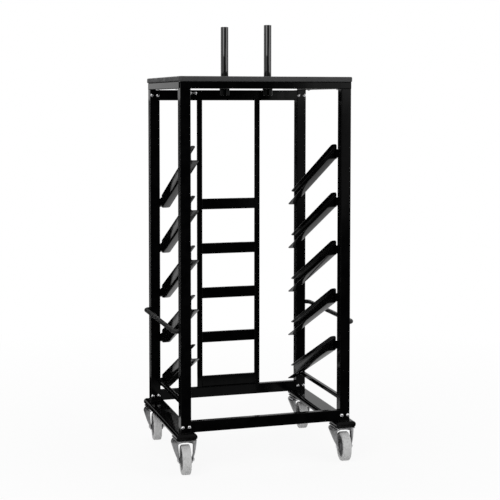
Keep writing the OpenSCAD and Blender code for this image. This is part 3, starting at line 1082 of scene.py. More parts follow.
@dataclass
class SlotGuides:
    """Row of sloping folded-sheet guides on one side frame, each held off the posts by two pads."""

    side: Side
    count: int = 5
    height: float = 0.059
    ledge: float = 0.035
    lip: float = 0.020
    pad: float = 0.010
    sheet: float = 0.0025
    bend: float = 0.0045
    bend_steps: int = 5
    corner: float = 0.012
    corner_steps: int = 8
    edge: float = 0.0005
    pad_inset: float = 0.001
    pad_length: float = 0.026
    pad_height: float = 0.034
    pad_lift: float = 0.006

    def node(self, i: int) -> str:
        """Name of a guide's CAD node, counted from the top."""
        return f"slot_guide_{self.side.word}_{i + 1}"

    def build(self) -> None:
        """Make the top guide, repeat it down the frame and dress the row."""
        low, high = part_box(self.node(0))
        self.face = max(abs(low.x), abs(high.x)) - self.pad
        self.front, self.back = low.y, high.y - self.pad
        self.low = high.z - self.height
        self.slope = (self.low - low.z) / (self.back - self.front)
        pads = [self.pad_block(y) for y in (self.front + self.pad_inset, high.y - self.pad_length)]
        one = bevelled(joined("slot_guide", [self.folded_sheet(), *pads]), self.edge)
        pitch = low.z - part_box(self.node(1))[0].z
        row = REPEAT.run(f"slot_guides_{self.side.word}", one, MATERIALS[Slot.POWDER_COAT],
                         Count=self.count, Step=(0.0, 0.0, -pitch))
        nodes = [self.node(i) for i in range(self.count)]
        dress(row, Slot.POWDER_COAT, "frame", *nodes)

    def section(self, inset: float) -> list[Point2]:
        """Outer face of the folded section, from the ledge's free edge to the lip's.

        Args:
            inset: Distance by which the free edges draw back at a rounded corner.

        Returns:
            Points as (distance from the middle, height).
        """
        face, top = self.face, self.height
        return rounded_path([
            (face - self.ledge + inset, 0, 0), (face - self.lip / 2, 0, 0), (face, 0, self.bend),
            (face, top / 2, 0), (face, top, self.bend), (face - self.lip / 2, top, 0),
            (face - self.lip + inset, top, 0)], self.bend_steps)

    def folded_sheet(self) -> bpy.types.Mesh:
        """Sheet of the guide with its ends' free corners rounded.

        Returns:
            The mesh of the sheet.
        """
        turns = [math.pi / 2 * k / self.corner_steps for k in range(self.corner_steps + 1)]
        ends = [(self.corner * (1 - math.cos(a)), self.corner * (1 - math.sin(a))) for a in turns]
        columns = [(self.front + d, inset) for d, inset in ends]
        columns += [(self.back - d, inset) for d, inset in reversed(ends)]
        points = []
        for y, inset in columns:
            drop = self.low - self.slope * (y - self.front)
            points += [(self.side.value * x, y, drop + z) for x, z in self.section(inset)]
        faces = [(a, d, c, b) for a, b, c, d in grid_faces(len(columns), len(points) // len(columns))]
        if self.side is Side.RIGHT:
            faces = [face[::-1] for face in faces]
        return thickened("guide_sheet", points, faces, self.sheet)

    def pad_block(self, y: float) -> bpy.types.Mesh:
        """Pad between the guide and a post.

        Args:
            y: Front end of the pad.

        Returns:
            The mesh of the pad.
        """
        z = self.low + self.pad_lift - self.slope * (y - self.front)
        fall = self.slope * self.pad_length
        outline = [(y, z), (y + self.pad_length, z - fall),
                   (y + self.pad_length, z - fall + self.pad_height), (y, z + self.pad_height)]
        points = [(self.side.value * x, a, b) for x in (self.face, self.face + self.pad) for a, b in outline]
        return mesh_of("guide_pad", points, drum_faces(2, len(outline)))


@dataclass
class SideHandle:
    """Bent tube welded to the outside of one side frame."""

    side: Side
    radius: float = 0.010
    # A little less than the 22 mm of the legs, so that the bends end before the posts
    bend: float = 0.021978

    def build(self) -> None:
        """Make the tube and dress it."""
        node = f"side_handle_{self.side.word}"
        low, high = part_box(node)
        near, far = (low.x, high.x - self.radius) if self.side is Side.RIGHT else (high.x, low.x + self.radius)
        z = (low.z + high.z) / 2
        ends = low.y + self.radius, high.y - self.radius
        path = bpy.data.meshes.new("handle_path")
        path.from_pydata([(near, ends[0], z), (far, ends[0], z), (far, ends[1], z), (near, ends[1], z)],
                         [(0, 1), (1, 2), (2, 3)], [])
        tube = TUBE.run(f"handle_{self.side.word}", path, SATIN_PAINT,
                        Tube_Radius=self.radius, Bend_Radius=self.bend)
        shade(tube.data, angle=40)
        dress(tube, Slot.POWDER_COAT, "frame", node, finish=SATIN_PAINT)


@dataclass
class BaseCaps:
    """Plastic plugs in the four ends of the flat oval base tubes."""

    thickness: float = 0.003
    edge: float = 0.0012
    edge_steps: int = 4
    dish: float = 0.0006
    dish_insets: Point2 = (0.0035, 0.0045)
    end_steps: int = 16

    def build(self) -> None:
        """Make one cap, set it on the four tube ends and dress them."""
        low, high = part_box("base_end_caps")
        tube_low, tube_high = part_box("base_tube_left")
        width, height = tube_high.x - tube_low.x, tube_high.z - tube_low.z
        cap = self.shape(width, height)
        z = (low.z + high.z) / 2
        seats = []
        for side in Side:
            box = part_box(f"base_tube_{side.word}")
            x = (box[0].x + box[1].x) / 2
            seats.append(((x, tube_low.y, z), face_side()))
            seats.append(((x, tube_high.y, z), (math.pi / 2, 0.0, math.pi)))
        caps = set_fasteners("base_caps", cap, Slot.CAP_PLASTIC, seats)
        dress(caps, Slot.CAP_PLASTIC, "frame", "base_end_caps")

    def shape(self, width: float, height: float) -> bpy.types.Mesh:
        """Cap that lies on z = 0, with rounded outer edges and a shallow dish.

        Args:
            width: Width of the tube.
            height: Height of the tube.

        Returns:
            The mesh of the cap.
        """
        rings = [(0.0, 0.0), (0.0, self.thickness - self.edge)]
        turns = [math.pi / 2 * k / self.edge_steps for k in range(1, self.edge_steps + 1)]
        rings += [(self.edge * (1 - math.cos(a)), self.thickness - self.edge * (1 - math.sin(a))) for a in turns]
        rings += zip(self.dish_insets, (self.thickness, self.thickness - self.dish))
        points = []
        for inset, z in rings:
            radius, run = height / 2 - inset, (width - height) / 2
            for sign in (1, -1):
                for k in range(self.end_steps + 1):
                    angle = math.pi * k / self.end_steps - math.pi / 2
                    points.append((sign * (run + radius * math.cos(angle)), sign * radius * math.sin(angle), z))
        mesh = mesh_of("base_cap", points, drum_faces(len(rings), len(points) // len(rings)))
        shade(mesh, angle=50)
        return mesh


@dataclass
class FrameBolts:
    """Dome bolts of the rail joints and the hanging bolt at the front left post."""

    dome: float = 0.016
    rise: float = 0.005
    socket: float = 0.005
    socket_depth: float = 0.0024
    socket_rim: float = 1.3
    foot_inset: float = 0.0003
    foot_rise: float = 0.0002
    segments: int = 36
    steps: int = 7
    gap: float = 0.028
    spin: float = 17.0
    rod: float = 0.008
    rod_length: float = 0.032
    thread: float = 0.00125
    thread_depth: float = 0.0006
    rod_edge: Point2 = (0.001, 0.0005)
    rod_steps: int = 24
    flats: float = 0.013
    nut: float = 0.0064
    nut_edge: float = 0.0007
    nut_inset: float = 0.002
    drop: float = 0.018

    def build(self) -> None:
        """Make the bolts, set them on their joints and dress them."""
        seats = []
        for rail, ends in (("bottom_rail_front", "front"), ("bottom_rail_back", "back"), ("top_rail_back", "back")):
            low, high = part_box(rail)
            z = (low.z + high.z) / 2
            for side in Side:
                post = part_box(f"leg_{ends}_{side.word}")
                x = (post[0].x + post[1].x) / 2
                for k in (-1, 1):
                    spin = math.radians(self.spin * len(seats))
                    seats.append(((x + k * self.gap / 2, post[0].y, z), face_side(spin)))
        bolts = set_fasteners("frame_bolts_bright", self.dome_head(), Slot.BRIGHT_ZINC, seats)
        bolts.data = joined("frame_bolts_bright", [bolts.data, self.hanging_bolt()])
        shade(bolts.data, angle=30)
        dress(bolts, Slot.BRIGHT_ZINC, "frame", "frame_bolts")

    def dome_head(self) -> bpy.types.Mesh:
        """Dome with a hexagon socket, on z = 0.

        Returns:
            The mesh of the head.
        """
        ball = (self.rise ** 2 + self.dome ** 2 / 4) / (2 * self.rise)
        outer, half_socket = self.dome / 2, self.socket / 2
        turns = [2 * math.pi * k / self.segments for k in range(self.segments)]
        rings = [(outer - self.foot_inset, 0.0)]
        for k in range(self.steps + 1):
            radius = outer + (half_socket * self.socket_rim - outer) * k / self.steps
            rings.append((radius, math.sqrt(ball ** 2 - radius ** 2) - ball + self.rise + self.foot_rise))
        points = [(radius * math.cos(t), radius * math.sin(t), z) for radius, z in rings for t in turns]
        for z in (rings[-1][1], self.rise - self.socket_depth):
            for t in turns:
                radius = half_socket / math.cos((t % (math.pi / 3)) - math.pi / 6)
                points.append((radius * math.cos(t), radius * math.sin(t), z))
        return mesh_of("dome_head", points, drum_faces(len(rings) + 2, self.segments))

    def hanging_bolt(self) -> bpy.types.Mesh:
        """Threaded rod with a nut at the post and one at its free end, along +X.

        Returns:
            The mesh of the bolt in its place.
        """
        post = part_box("leg_front_left")
        place = (post[1].x, (post[0].y + post[1].y) / 2, post[1].z - self.drop)
        crest, root, end = self.rod / 2, self.rod / 2 - self.thread_depth, self.rod_length
        profile = [(0.0, 0.0)]
        for k in range(int(end / self.thread)):
            z = k * self.thread
            profile += [(root, z), (crest, z + self.thread / 2)]
        profile += [(root, end - self.rod_edge[1]), (root - self.rod_edge[0], end), (0.0, end)]
        rod = lathe("hanging_rod", profile, self.rod_steps)
        nuts = [moved(hex_prism("hanging_nut", self.flats, self.nut, self.nut_edge), Matrix.Translation((0, 0, z)))
                for z in (0.0, end - self.nut - self.nut_inset)]
        whole = joined("hanging_bolt", [rod, *nuts])
        return moved(whole, Matrix.Translation(place) @ Matrix.Rotation(math.pi / 2, 4, "Y"))


@dataclass
class LidScrews:
    """Screws from below through the side rails into the board."""

    head: float = 0.011
    rise: float = 0.0035
    edge: float = 0.0014
    drive: float = 0.0022
    drive_taper: float = 0.8
    drive_floor: Point2 = (0.4, 0.3)
    steps: int = 32

    def build(self) -> None:
        """Make the screw heads, set them under the rails and dress them."""
        low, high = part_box("lid_screws")
        head = self.head_shape()
        under = (math.pi, 0.0, 0.0)
        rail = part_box("top_rail_left")[0].z
        seats = [((x, y, rail), under) for x in (low.x + self.head / 2, high.x - self.head / 2)
                 for y in (low.y + self.head / 2, high.y - self.head / 2)]
        screws = set_fasteners("lid_screws_bright", head, Slot.BRIGHT_ZINC, seats)
        shade(screws.data, angle=30)
        dress(screws, Slot.BRIGHT_ZINC, "frame", "lid_screws")

    def head_shape(self) -> bpy.types.Mesh:
        """Pan head on z = 0 with a round drive recess.

        Returns:
            The mesh of the head.
        """
        radius, (floor_edge, floor) = self.head / 2, self.drive_floor
        profile = rounded_path([
            (0, 0, 0), (radius, 0, 0), (radius, self.rise, self.edge), (self.drive, self.rise, 0),
            (self.drive * self.drive_taper, self.rise * floor_edge, 0), (0, self.rise * floor, 0)])
        return lathe("pan_head", profile, self.steps)


@dataclass
class Castor:
    """Swivel castor at one corner: top plate, pressed fork, axle and wheel."""

    corner: str
    bolt_x: float = 0.060
    bolt_y: float = 0.080
    bolt_spin: Point2 = (0.3, 0.5)
    fork_in: float = 0.0255
    fork_sheet: float = 0.003
    fork_edge: float = 0.0006
    leg_bow: float = 0.62
    leg_flare: float = 1.25
    crown: float = 0.0545
    crown_back: float = 0.012
    crown_round: float = 0.010
    crown_z: float = 0.1358
    crown_front: Point2 = (0.0215, 0.054)
    crown_rear: Point2 = (0.006, 0.036)
    waist: float = 0.6
    eye: float = 0.0155
    race: float = 0.020
    race_rise: float = 0.0026
    race_gap: float = 0.0002
    race_edge: float = 0.0008
    race_steps: int = 56
    race_sink: float = 0.001
    rivet: float = 0.007
    rivet_drop: float = 0.0006
    plate: float = 0.004
    plate_corner: float = 0.006
    plate_edge: float = 0.0007
    axle: float = 0.010
    axle_flats: float = 0.017
    axle_head: float = 0.0065
    axle_nut: float = 0.008
    axle_edge: float = 0.0009
    axle_sink: float = 0.001
    axle_past: float = 0.002
    axle_tip: float = 0.001
    axle_steps: int = 32
    washer: float = 0.0105
    washer_thick: float = 0.0015
    washer_edge: float = 0.0005
    washer_steps: int = 40
    tread: float = 0.037
    shoulder: float = 0.005
    tyre: float = 0.0165
    tyre_step: float = 0.0015
    tyre_rim: Point2 = (0.002, 0.0035)
    tyre_rim_edges: Point2 = (0.0008, 0.001)
    tyre_steps: int = 128
    seam: Point2 = (0.0006, 0.0003)
    bore_play: float = 0.0001
    boss: float = 0.017
    boss_play: float = 0.001
    boss_edge: float = 0.002
    bearing: Point2 = (0.011, 0.012)
    bearing_rise: float = 0.002
    bearing_edge: float = 0.001
    rim_lip: float = 0.0075
    rim_edge: float = 0.0012
    web: float = 0.00775
    web_round: float = 0.004
    hub_draft: float = 0.001
    hub_steps: int = 96
    rib_count: int = 9
    rib_foot: float = 0.0022
    rib_top: float = 0.0014
    rib_slant: float = 0.003
    rib_sink: float = 0.001
    rib_overlap: float = 0.0005
    rib_inset: float = 0.0025
    rib_edge: float = 0.0005

    def __post_init__(self) -> None:
        """Read the swivel axis, the axle and the swing from the frame's joints."""
        joints = {j["name"]: j for j in frame["joints"]}
        swivel, roll = joints[f"swivel_{self.corner}"], joints[f"roll_{self.corner}"]
        self.pivot = Vector((*swivel["pos_m"][:2], 0.0))
        self.wheel_r = roll["pos_m"][2]
        self.swing = math.atan2(roll["axis"][1], roll["axis"][0])
        self.trail = (Vector((*roll["pos_m"][:2], 0.0)) - self.pivot).length
        turn = Matrix.Rotation(self.swing, 4, "Z")
        self.place = Matrix.Translation(self.pivot) @ turn
        lie = Matrix.Rotation(math.pi / 2, 4, "Y")
        self.at_axle = self.place @ Matrix.Translation((0, -self.trail, self.wheel_r)) @ lie

    def build(self) -> None:
        """Make the castor's pieces and dress them."""
        plate = object_of(f"plate_{self.corner}_pressed", self.top_plate())
        dress(plate, Slot.DULL_ZINC, "frame", f"castor_plate_{self.corner}")
        fork = object_of(f"fork_{self.corner}_pressed", moved(self.fork(), self.place))
        dress(fork, Slot.DULL_ZINC, f"fork_{self.corner}", f"castor_fork_{self.corner}")
        axle = object_of(f"axle_{self.corner}_bolt", moved(self.axle_bolt(), self.at_axle))
        dress(axle, Slot.BRIGHT_ZINC, f"fork_{self.corner}", f"castor_axle_{self.corner}")
        tyre = object_of(f"tyre_{self.corner}_rubber", moved(self.tyre_ring(), self.at_axle))
        dress(tyre, Slot.TREAD_RUBBER, f"wheel_{self.corner}", f"wheel_tyre_{self.corner}")
        hub = object_of(f"hub_{self.corner}_moulded", moved(self.hub(), self.at_axle))
        dress(hub, Slot.HUB_PLASTIC, f"wheel_{self.corner}", f"wheel_hub_{self.corner}")

    def bolt_seats(self) -> list[Seat]:
        """Seats of the plate bolts, whose heads hang under the plate.

        Returns:
            Each bolt's place and turn.
        """
        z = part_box(f"castor_plate_{self.corner}")[1].z - self.plate
        seats = []
        for a in (-1, 1):
            for b in (-1, 1):
                place = (self.pivot.x + a * self.bolt_x / 2, self.pivot.y + b * self.bolt_y / 2, z)
                seats.append((place, (math.pi, 0.0, self.bolt_spin[0] * a + self.bolt_spin[1] * b)))
        return seats

    def crown_edge(self, p: float) -> Point2:
        """Point of the bowed upper end of a leg, from p = -1 at its front edge to 1 at its back edge."""
        sag, half = self.crown_front if p < 0 else self.crown_rear
        return self.crown - sag * p * p, half * p + self.crown_back

    def leg_row(self, z: float, steps: int) -> list[Point3]:
        """Outer face of one leg at a height, from the front edge to the back edge.

        Args:
            z: Height above the floor.
            steps: Steps across the leg.

        Returns:
            Points across the leg, on the side of +X.
        """
        top = self.crown_z - self.crown_round
        share = min(max((z - self.wheel_r) / (top - self.wheel_r), 0.0), 1.0)
        bow, flare = share ** self.leg_bow, share ** self.leg_flare
        flat_x = self.fork_in + self.fork_sheet
        width = self.eye
        if z < self.wheel_r:
            width = math.sqrt(self.eye ** 2 - (self.wheel_r - z) ** 2)
        row = []
        for k in range(steps + 1):
            p = 2 * k / steps - 1
            wide_x, wide_y = self.crown_edge(p)
            narrow_y = width * p - self.trail
            row.append((flat_x + (wide_x - flat_x) * bow, narrow_y + (wide_y - narrow_y) * flare, z))
        return row

    def top_plate(self) -> bpy.types.Mesh:
        """Plate under the base tube with the upper half of the swivel race.

        Returns:
            The mesh of the plate in its place.
        """
        low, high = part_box(f"castor_plate_{self.corner}")
        under = high.z - self.plate
        outline = rounded_rectangle(low, high, self.plate_corner, steps=6)
        points = [(x, y, z) for z in (under, high.z) for x, y in outline]
        sheet = bevelled(mesh_of("castor_plate", points, drum_faces(2, len(outline))), self.plate_edge)
        race_z, flare = self.crown_z + self.race_rise + self.race_gap, 0.003
        race = lathe("plate_race", rounded_path([
            (0.0, race_z, 0), (self.race, race_z, self.race_edge),
            (self.race + flare, under + self.race_sink, 0), (0.0, under + self.race_sink, 0)]), self.race_steps)
        moved(race, Matrix.Translation(self.pivot))
        whole = joined("castor_plate", [sheet, race])
        shade(whole)
        return whole

    def fork(self) -> bpy.types.Mesh:
        """Pressed fork: one sheet that runs up a leg, over the waisted crown and down the other leg.

        Returns:
            The mesh of the fork about its swivel axis.
        """
        across, eye_steps, leg_steps, crown_steps = 18, 8, 14, 8
        top, open_tip = self.crown_z - self.crown_round, 0.00002
        heights = [self.wheel_r - self.eye * math.cos(math.pi / 2 * k / eye_steps) for k in range(eye_steps)]
        heights += [self.wheel_r + (top - self.wheel_r) * k / leg_steps for k in range(leg_steps)]
        heights[0] += open_tip
        rows = [self.leg_row(z, across) for z in heights]
        edge = [self.crown_edge(2 * n / across - 1) for n in range(across + 1)]
        for k in range(crown_steps + 1):
            bend = math.pi / 2 * k / crown_steps
            inset = self.crown_round * (1 - math.cos(bend))
            z = top + self.crown_round * math.sin(bend)
            rows.append([(x - inset, y, z) for x, y in edge])
        for k in range(1, crown_steps + 1):
            reach = 1 - k / crown_steps
            pull = self.waist + (1 - self.waist) * reach ** 2
            rows.append([((x - self.crown_round) * reach,
                          (y - self.crown_back) * pull + self.crown_back * reach, self.crown_z) for x, y in edge])
        rows += [[(-x, y, z) for x, y, z in row] for row in reversed(rows[:-1])]
        points = [point for row in rows for point in row]
        sheet = thickened("fork_shell", points, grid_faces(len(rows), across + 1), self.fork_sheet)
        whole = joined("fork_pressed", [bevelled(sheet, self.fork_edge), self.fork_race()])
        shade(whole)
        return whole

    def fork_race(self) -> bpy.types.Mesh:
        """Lower half of the swivel race and the pin's flush rivet.

        Returns:
            The mesh of both about the swivel axis.
        """
        under, top = self.crown_z - self.fork_sheet, self.crown_z + self.race_rise
        rivet_edge, rivet_flare, foot = 0.0005, 0.001, 0.002
        return lathe("fork_race", rounded_path([
            (0.0, under - self.rivet_drop, 0), (self.rivet, under - self.rivet_drop, rivet_edge),
            (self.rivet + rivet_flare, under + self.race_sink, 0),
            (self.race + foot, self.crown_z - self.race_sink, 0),
            (self.race, top, self.race_edge), (0.0, top, 0)]), self.race_steps)

    def axle_bolt(self) -> bpy.types.Mesh:
        """Axle along Z with a head, a nut and washers outside the legs.

        Returns:
            The mesh of the axle about the middle of the wheel.
        """
        out, ring, radius = self.fork_in + self.fork_sheet, self.washer_thick, self.axle / 2
        prisms = [("axle_head", self.axle_head, -out - self.axle_head), ("axle_nut", self.axle_nut, out + ring)]
        ends = [moved(hex_prism(name, self.axle_flats, height - ring, self.axle_edge), Matrix.Translation((0, 0, z)))
                for name, height, z in prisms]
        start, tip = -out - self.axle_sink, out + self.axle_nut + self.axle_past
        rod = lathe("axle_rod", rounded_path([
            (0, start, 0), (radius, start, 0), (radius, tip, self.axle_tip), (0, tip, 0)]), self.axle_steps)
        washers = [lathe("axle_washer", rounded_path([
            (radius, a, 0), (self.washer, a, self.washer_edge), (self.washer, b, self.washer_edge),
            (radius, b, 0)]), self.washer_steps) for a, b in ((-out - ring, -out), (out, out + ring))]
        whole = joined("axle_bolt", [*ends, rod, *washers])
        shade(whole, angle=30)
        return whole

    def tyre_ring(self) -> bpy.types.Mesh:
        """Tyre about Z: round shoulders, a step at the rim and a fine moulding line.

        Returns:
            The mesh of the tyre.
        """
        half, r, inner = self.tread / 2, self.wheel_r, self.wheel_r - self.tyre
        (foot, top), (foot_edge, top_edge), (seam, seam_depth) = self.tyre_rim, self.tyre_rim_edges, self.seam
        side = [(inner, half - self.tyre_step, 0), (inner + foot, half - self.tyre_step, foot_edge),
                (inner + top, half, top_edge), (r, half, self.shoulder), (r, seam, 0)]
        mirrored = [(x, -z, radius) for x, z, radius in side]
        profile = rounded_path([*mirrored, (r - seam_depth, 0, 0), *reversed(side)], steps=8)
        ring = lathe("tyre_ring", [*profile, profile[0]], self.tyre_steps)
        shade(ring)
        return ring

    def hub(self) -> bpy.types.Mesh:
        """Wheel centre about Z: rim, dished web, bearing boss and ribs on both faces.

        Returns:
            The mesh of the hub.
        """
        rim, half = self.wheel_r - self.tyre, self.tread / 2 - self.shoulder
        lip, draft = rim - self.rim_lip, self.hub_draft
        bore, boss_half = self.axle / 2 + self.bore_play, self.fork_in - self.boss_play
        boss_face, (seat, collar) = boss_half - self.bearing_rise, self.bearing
        line = rounded_path([
            (bore, boss_half, 0), (seat, boss_half, self.bearing_edge), (collar, boss_face, self.bearing_edge),
            (self.boss, boss_face, self.boss_edge), (self.boss + draft, self.web, self.web_round),
            (lip - draft, self.web, self.web_round), (lip, half, self.rim_edge), (rim, half, 0)], steps=5)
        far = [(r, -z) for r, z in reversed(line)]
        body = lathe("hub_body", [*line, *far, line[0]], self.hub_steps)
        rib = self.rib(self.boss + self.rib_overlap, lip + self.rib_overlap, half - self.rib_inset)
        ribs = SPOKES.run("hub_ribs", rib, MATERIALS[Slot.HUB_PLASTIC], Count=self.rib_count)
        whole = joined("hub", [body, ribs.data])
        bpy.data.objects.remove(ribs)
        shade(whole)
        return whole

    def rib(self, start: float, end: float, rise: float) -> bpy.types.Mesh:
        """A pair of radial ribs along X, one on each face of the web.

        Args:
            start: Distance of the inner end from the axle.
            end: Distance of the outer end from the axle.
            rise: Height of the outer end from the wheel's middle.

        Returns:
            The mesh of both ribs.
        """
        foot = self.web - self.rib_sink
        corners = ((start, foot, self.rib_foot), (end, foot, self.rib_foot),
                   (end, rise, self.rib_top), (start, rise + self.rib_slant, self.rib_top))
        faces = [(0, 2, 4, 6), (1, 3, 5, 7), (0, 1, 3, 2), (2, 3, 5, 4), (4, 5, 7, 6), (6, 7, 1, 0)]
        meshes = []
        for sign in (-1, 1):
            points = [(x, y, sign * z) for x, z, thick in corners for y in (-thick, thick)]
            meshes.append(mesh_of("hub_rib", points, faces))
        return bevelled(joined("hub_rib_pair", meshes), self.rib_edge)


@dataclass
class PlateBolts:
    """Hexagon bolts under the castor plates."""

    flats: float = 0.013
    rise: float = 0.0052
    edge: float = 0.0006
    washer: float = 0.0085
    washer_thick: float = 0.0012
    washer_edge: float = 0.0004
    washer_steps: int = 32

    def build(self, castors: Sequence[Castor]) -> None:
        """Make the bolt heads, set them under the plates and dress them.

        Args:
            castors: The castors whose plates they hold.
        """
        ring = self.washer_thick
        head = moved(hex_prism("plate_bolt_head", self.flats, self.rise - ring, self.edge),
                     Matrix.Translation((0, 0, ring)))
        washer = lathe("plate_washer", rounded_path([
            (0, 0, 0), (self.washer, 0, self.washer_edge),
            (self.washer, ring, self.washer_edge), (0, ring, 0)]), self.washer_steps)
        shape = joined("plate_bolt", [head, washer])
        seats = [seat for castor in castors for seat in castor.bolt_seats()]
        bolts = set_fasteners("castor_bolts_bright", shape, Slot.BRIGHT_ZINC, seats)
        shade(bolts.data, angle=30)
        dress(bolts, Slot.BRIGHT_ZINC, "frame", "castor_bolts")


@dataclass
class WeldBeads:
    """Painted weld beads where the tubes of the frame meet."""

    radius: float = 0.0022
    ripple: float = 0.0024
    stop_bars: int = 5
    stop_gap: float = 0.003
    handle_radius: float = SideHandle.radius
    handle_steps: int = 24
    post_gap: float = 0.0035

    def build(self) -> None:
        """Lay the beads along the joints and dress them."""
        points: list[Point3] = []
        edges: list[tuple[int, int]] = []
        for seam in (*self.stop_joints(), *self.handle_joints(), *self.post_joints()):
            first = len(points)
            points += seam
            edges += [(first + k, first + k + 1) for k in range(len(seam) - 1)]
        path = bpy.data.meshes.new("weld_paths")
        path.from_pydata(points, edges, [])
        beads = WELDS.run("weld_beads", path, MATERIALS[Slot.POWDER_COAT],
                          Bead_Radius=self.radius, Ripple=self.ripple)
        dress(beads, Slot.POWDER_COAT, "frame")

    def stop_joints(self) -> list[list[Point3]]:
        """Seams of the stop bars on their uprights, front and back, and of the uprights on the rails, in front.

        Returns:
            The points along each seam.
        """
        seams, gap = [], self.stop_gap
        for i in range(1, self.stop_bars + 1):
            low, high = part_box(f"stop_bar_{i}")
            seams += [[(x, y, low.z + gap), (x, y, high.z - gap)] for x in (low.x, high.x) for y in (low.y, high.y)]
        for side in Side:
            low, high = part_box(f"stop_upright_{side.word}")
            seams += [[(low.x + gap, low.y, z), (high.x - gap, low.y, z)] for z in (low.z, high.z)]
        return seams

    def handle_joints(self) -> list[list[Point3]]:
        """Rings where the handles meet the posts.

        Returns:
            The points along each ring.
        """
        rings, radius = [], self.handle_radius
        turns = [2 * math.pi * k / self.handle_steps for k in range(self.handle_steps + 1)]
        for side in Side:
            low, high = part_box(f"side_handle_{side.word}")
            x = low.x if side is Side.RIGHT else high.x
            z = (low.z + high.z) / 2
            for y in (low.y + radius, high.y - radius):
                rings.append([(x, y + radius * math.cos(a), z + radius * math.sin(a)) for a in turns])
        return rings

    def post_joints(self) -> list[list[Point3]]:
        """Seams at the feet of the posts on the base tubes.

        Returns:
            The points along each seam.
        """
        seams, gap = [], self.post_gap
        for side in Side:
            for end in ("front", "back"):
                low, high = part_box(f"leg_{end}_{side.word}")
                seams += [[(low.x + gap, y, low.z), (high.x - gap, y, low.z)] for y in (low.y, high.y)]
                seams += [[(x, low.y + gap, low.z), (x, high.y - gap, low.z)] for x in (low.x, high.x)]
        return seams


# Stage


@dataclass
class PhotoCamera:
    """Camera at the photograph's place, fitted to the edges of the frame."""

    place: Point3 = (-1.5807, -5.14545, 1.5730)
    pitch: float = 86.98
    yaw: float = -16.44
    lens: float = 86.82
    sensor: float = 36.0
    shift: Point2 = (0.0316, -0.172)

    def build(self) -> None:
        """Make the camera and look through it."""
        data = bpy.data.cameras.new("photo_camera")
        data.lens = self.lens
        data.sensor_width = self.sensor
        data.shift_x, data.shift_y = self.shift
        camera = bpy.data.objects.new("photo_camera", data)
        camera.location = self.place
        camera.rotation_euler = (math.radians(self.pitch), 0.0, math.radians(self.yaw))
        bpy.context.scene.collection.objects.link(camera)
        bpy.context.scene.camera = camera


@dataclass(frozen=True)
class Softbox:
    """Square lamp that looks at a point."""

    name: str
    place: Point3
    aim: Point3
    size: float
    power: float

    def build(self) -> None:
        """Hang the lamp."""
        data = bpy.data.lights.new(self.name, "AREA")
        data.size = self.size
        data.energy = self.power
        lamp = bpy.data.objects.new(self.name, data)
        lamp.location = self.place
        lamp.rotation_euler = (Vector(self.aim) - Vector(self.place)).to_track_quat("-Z", "Y").to_euler()
        bpy.context.scene.collection.objects.link(lamp)


@dataclass(frozen=True)
class DarkCard:
    """Dark card, upright or on the floor, that only reflections see."""

    name: str
    low: Point3
    high: Point3
    tone: float = 0.004

    def build(self) -> None:
        """Stand or lay the card and hide it from everything but reflections."""
        (x0, y0, z0), (x1, y1, z1) = self.low, self.high
        outline = [(x0, y0, z0), (x1, y0, z0), (x1, y1, z1), (x0, y1, z1)]
        mesh = mesh_of(self.name, outline, [(0, 1, 2, 3)])
        material = bpy.data.materials.get("dark_card") or bpy.data.materials.new("dark_card")
        material.use_nodes = True
        shader = material.node_tree.nodes["Principled BSDF"]
        shader.inputs["Base Color"].default_value = (self.tone, self.tone, self.tone, 1)
        shader.inputs["Specular IOR Level"].default_value = 0.0
        mesh.materials.append(material)
        card = object_of(self.name, mesh)
        for rays in ("camera", "diffuse", "transmission", "shadow"):
            setattr(card, f"visible_{rays}", False)


# Height of a card that lies on the floor
CARD_LIFT = 0.003


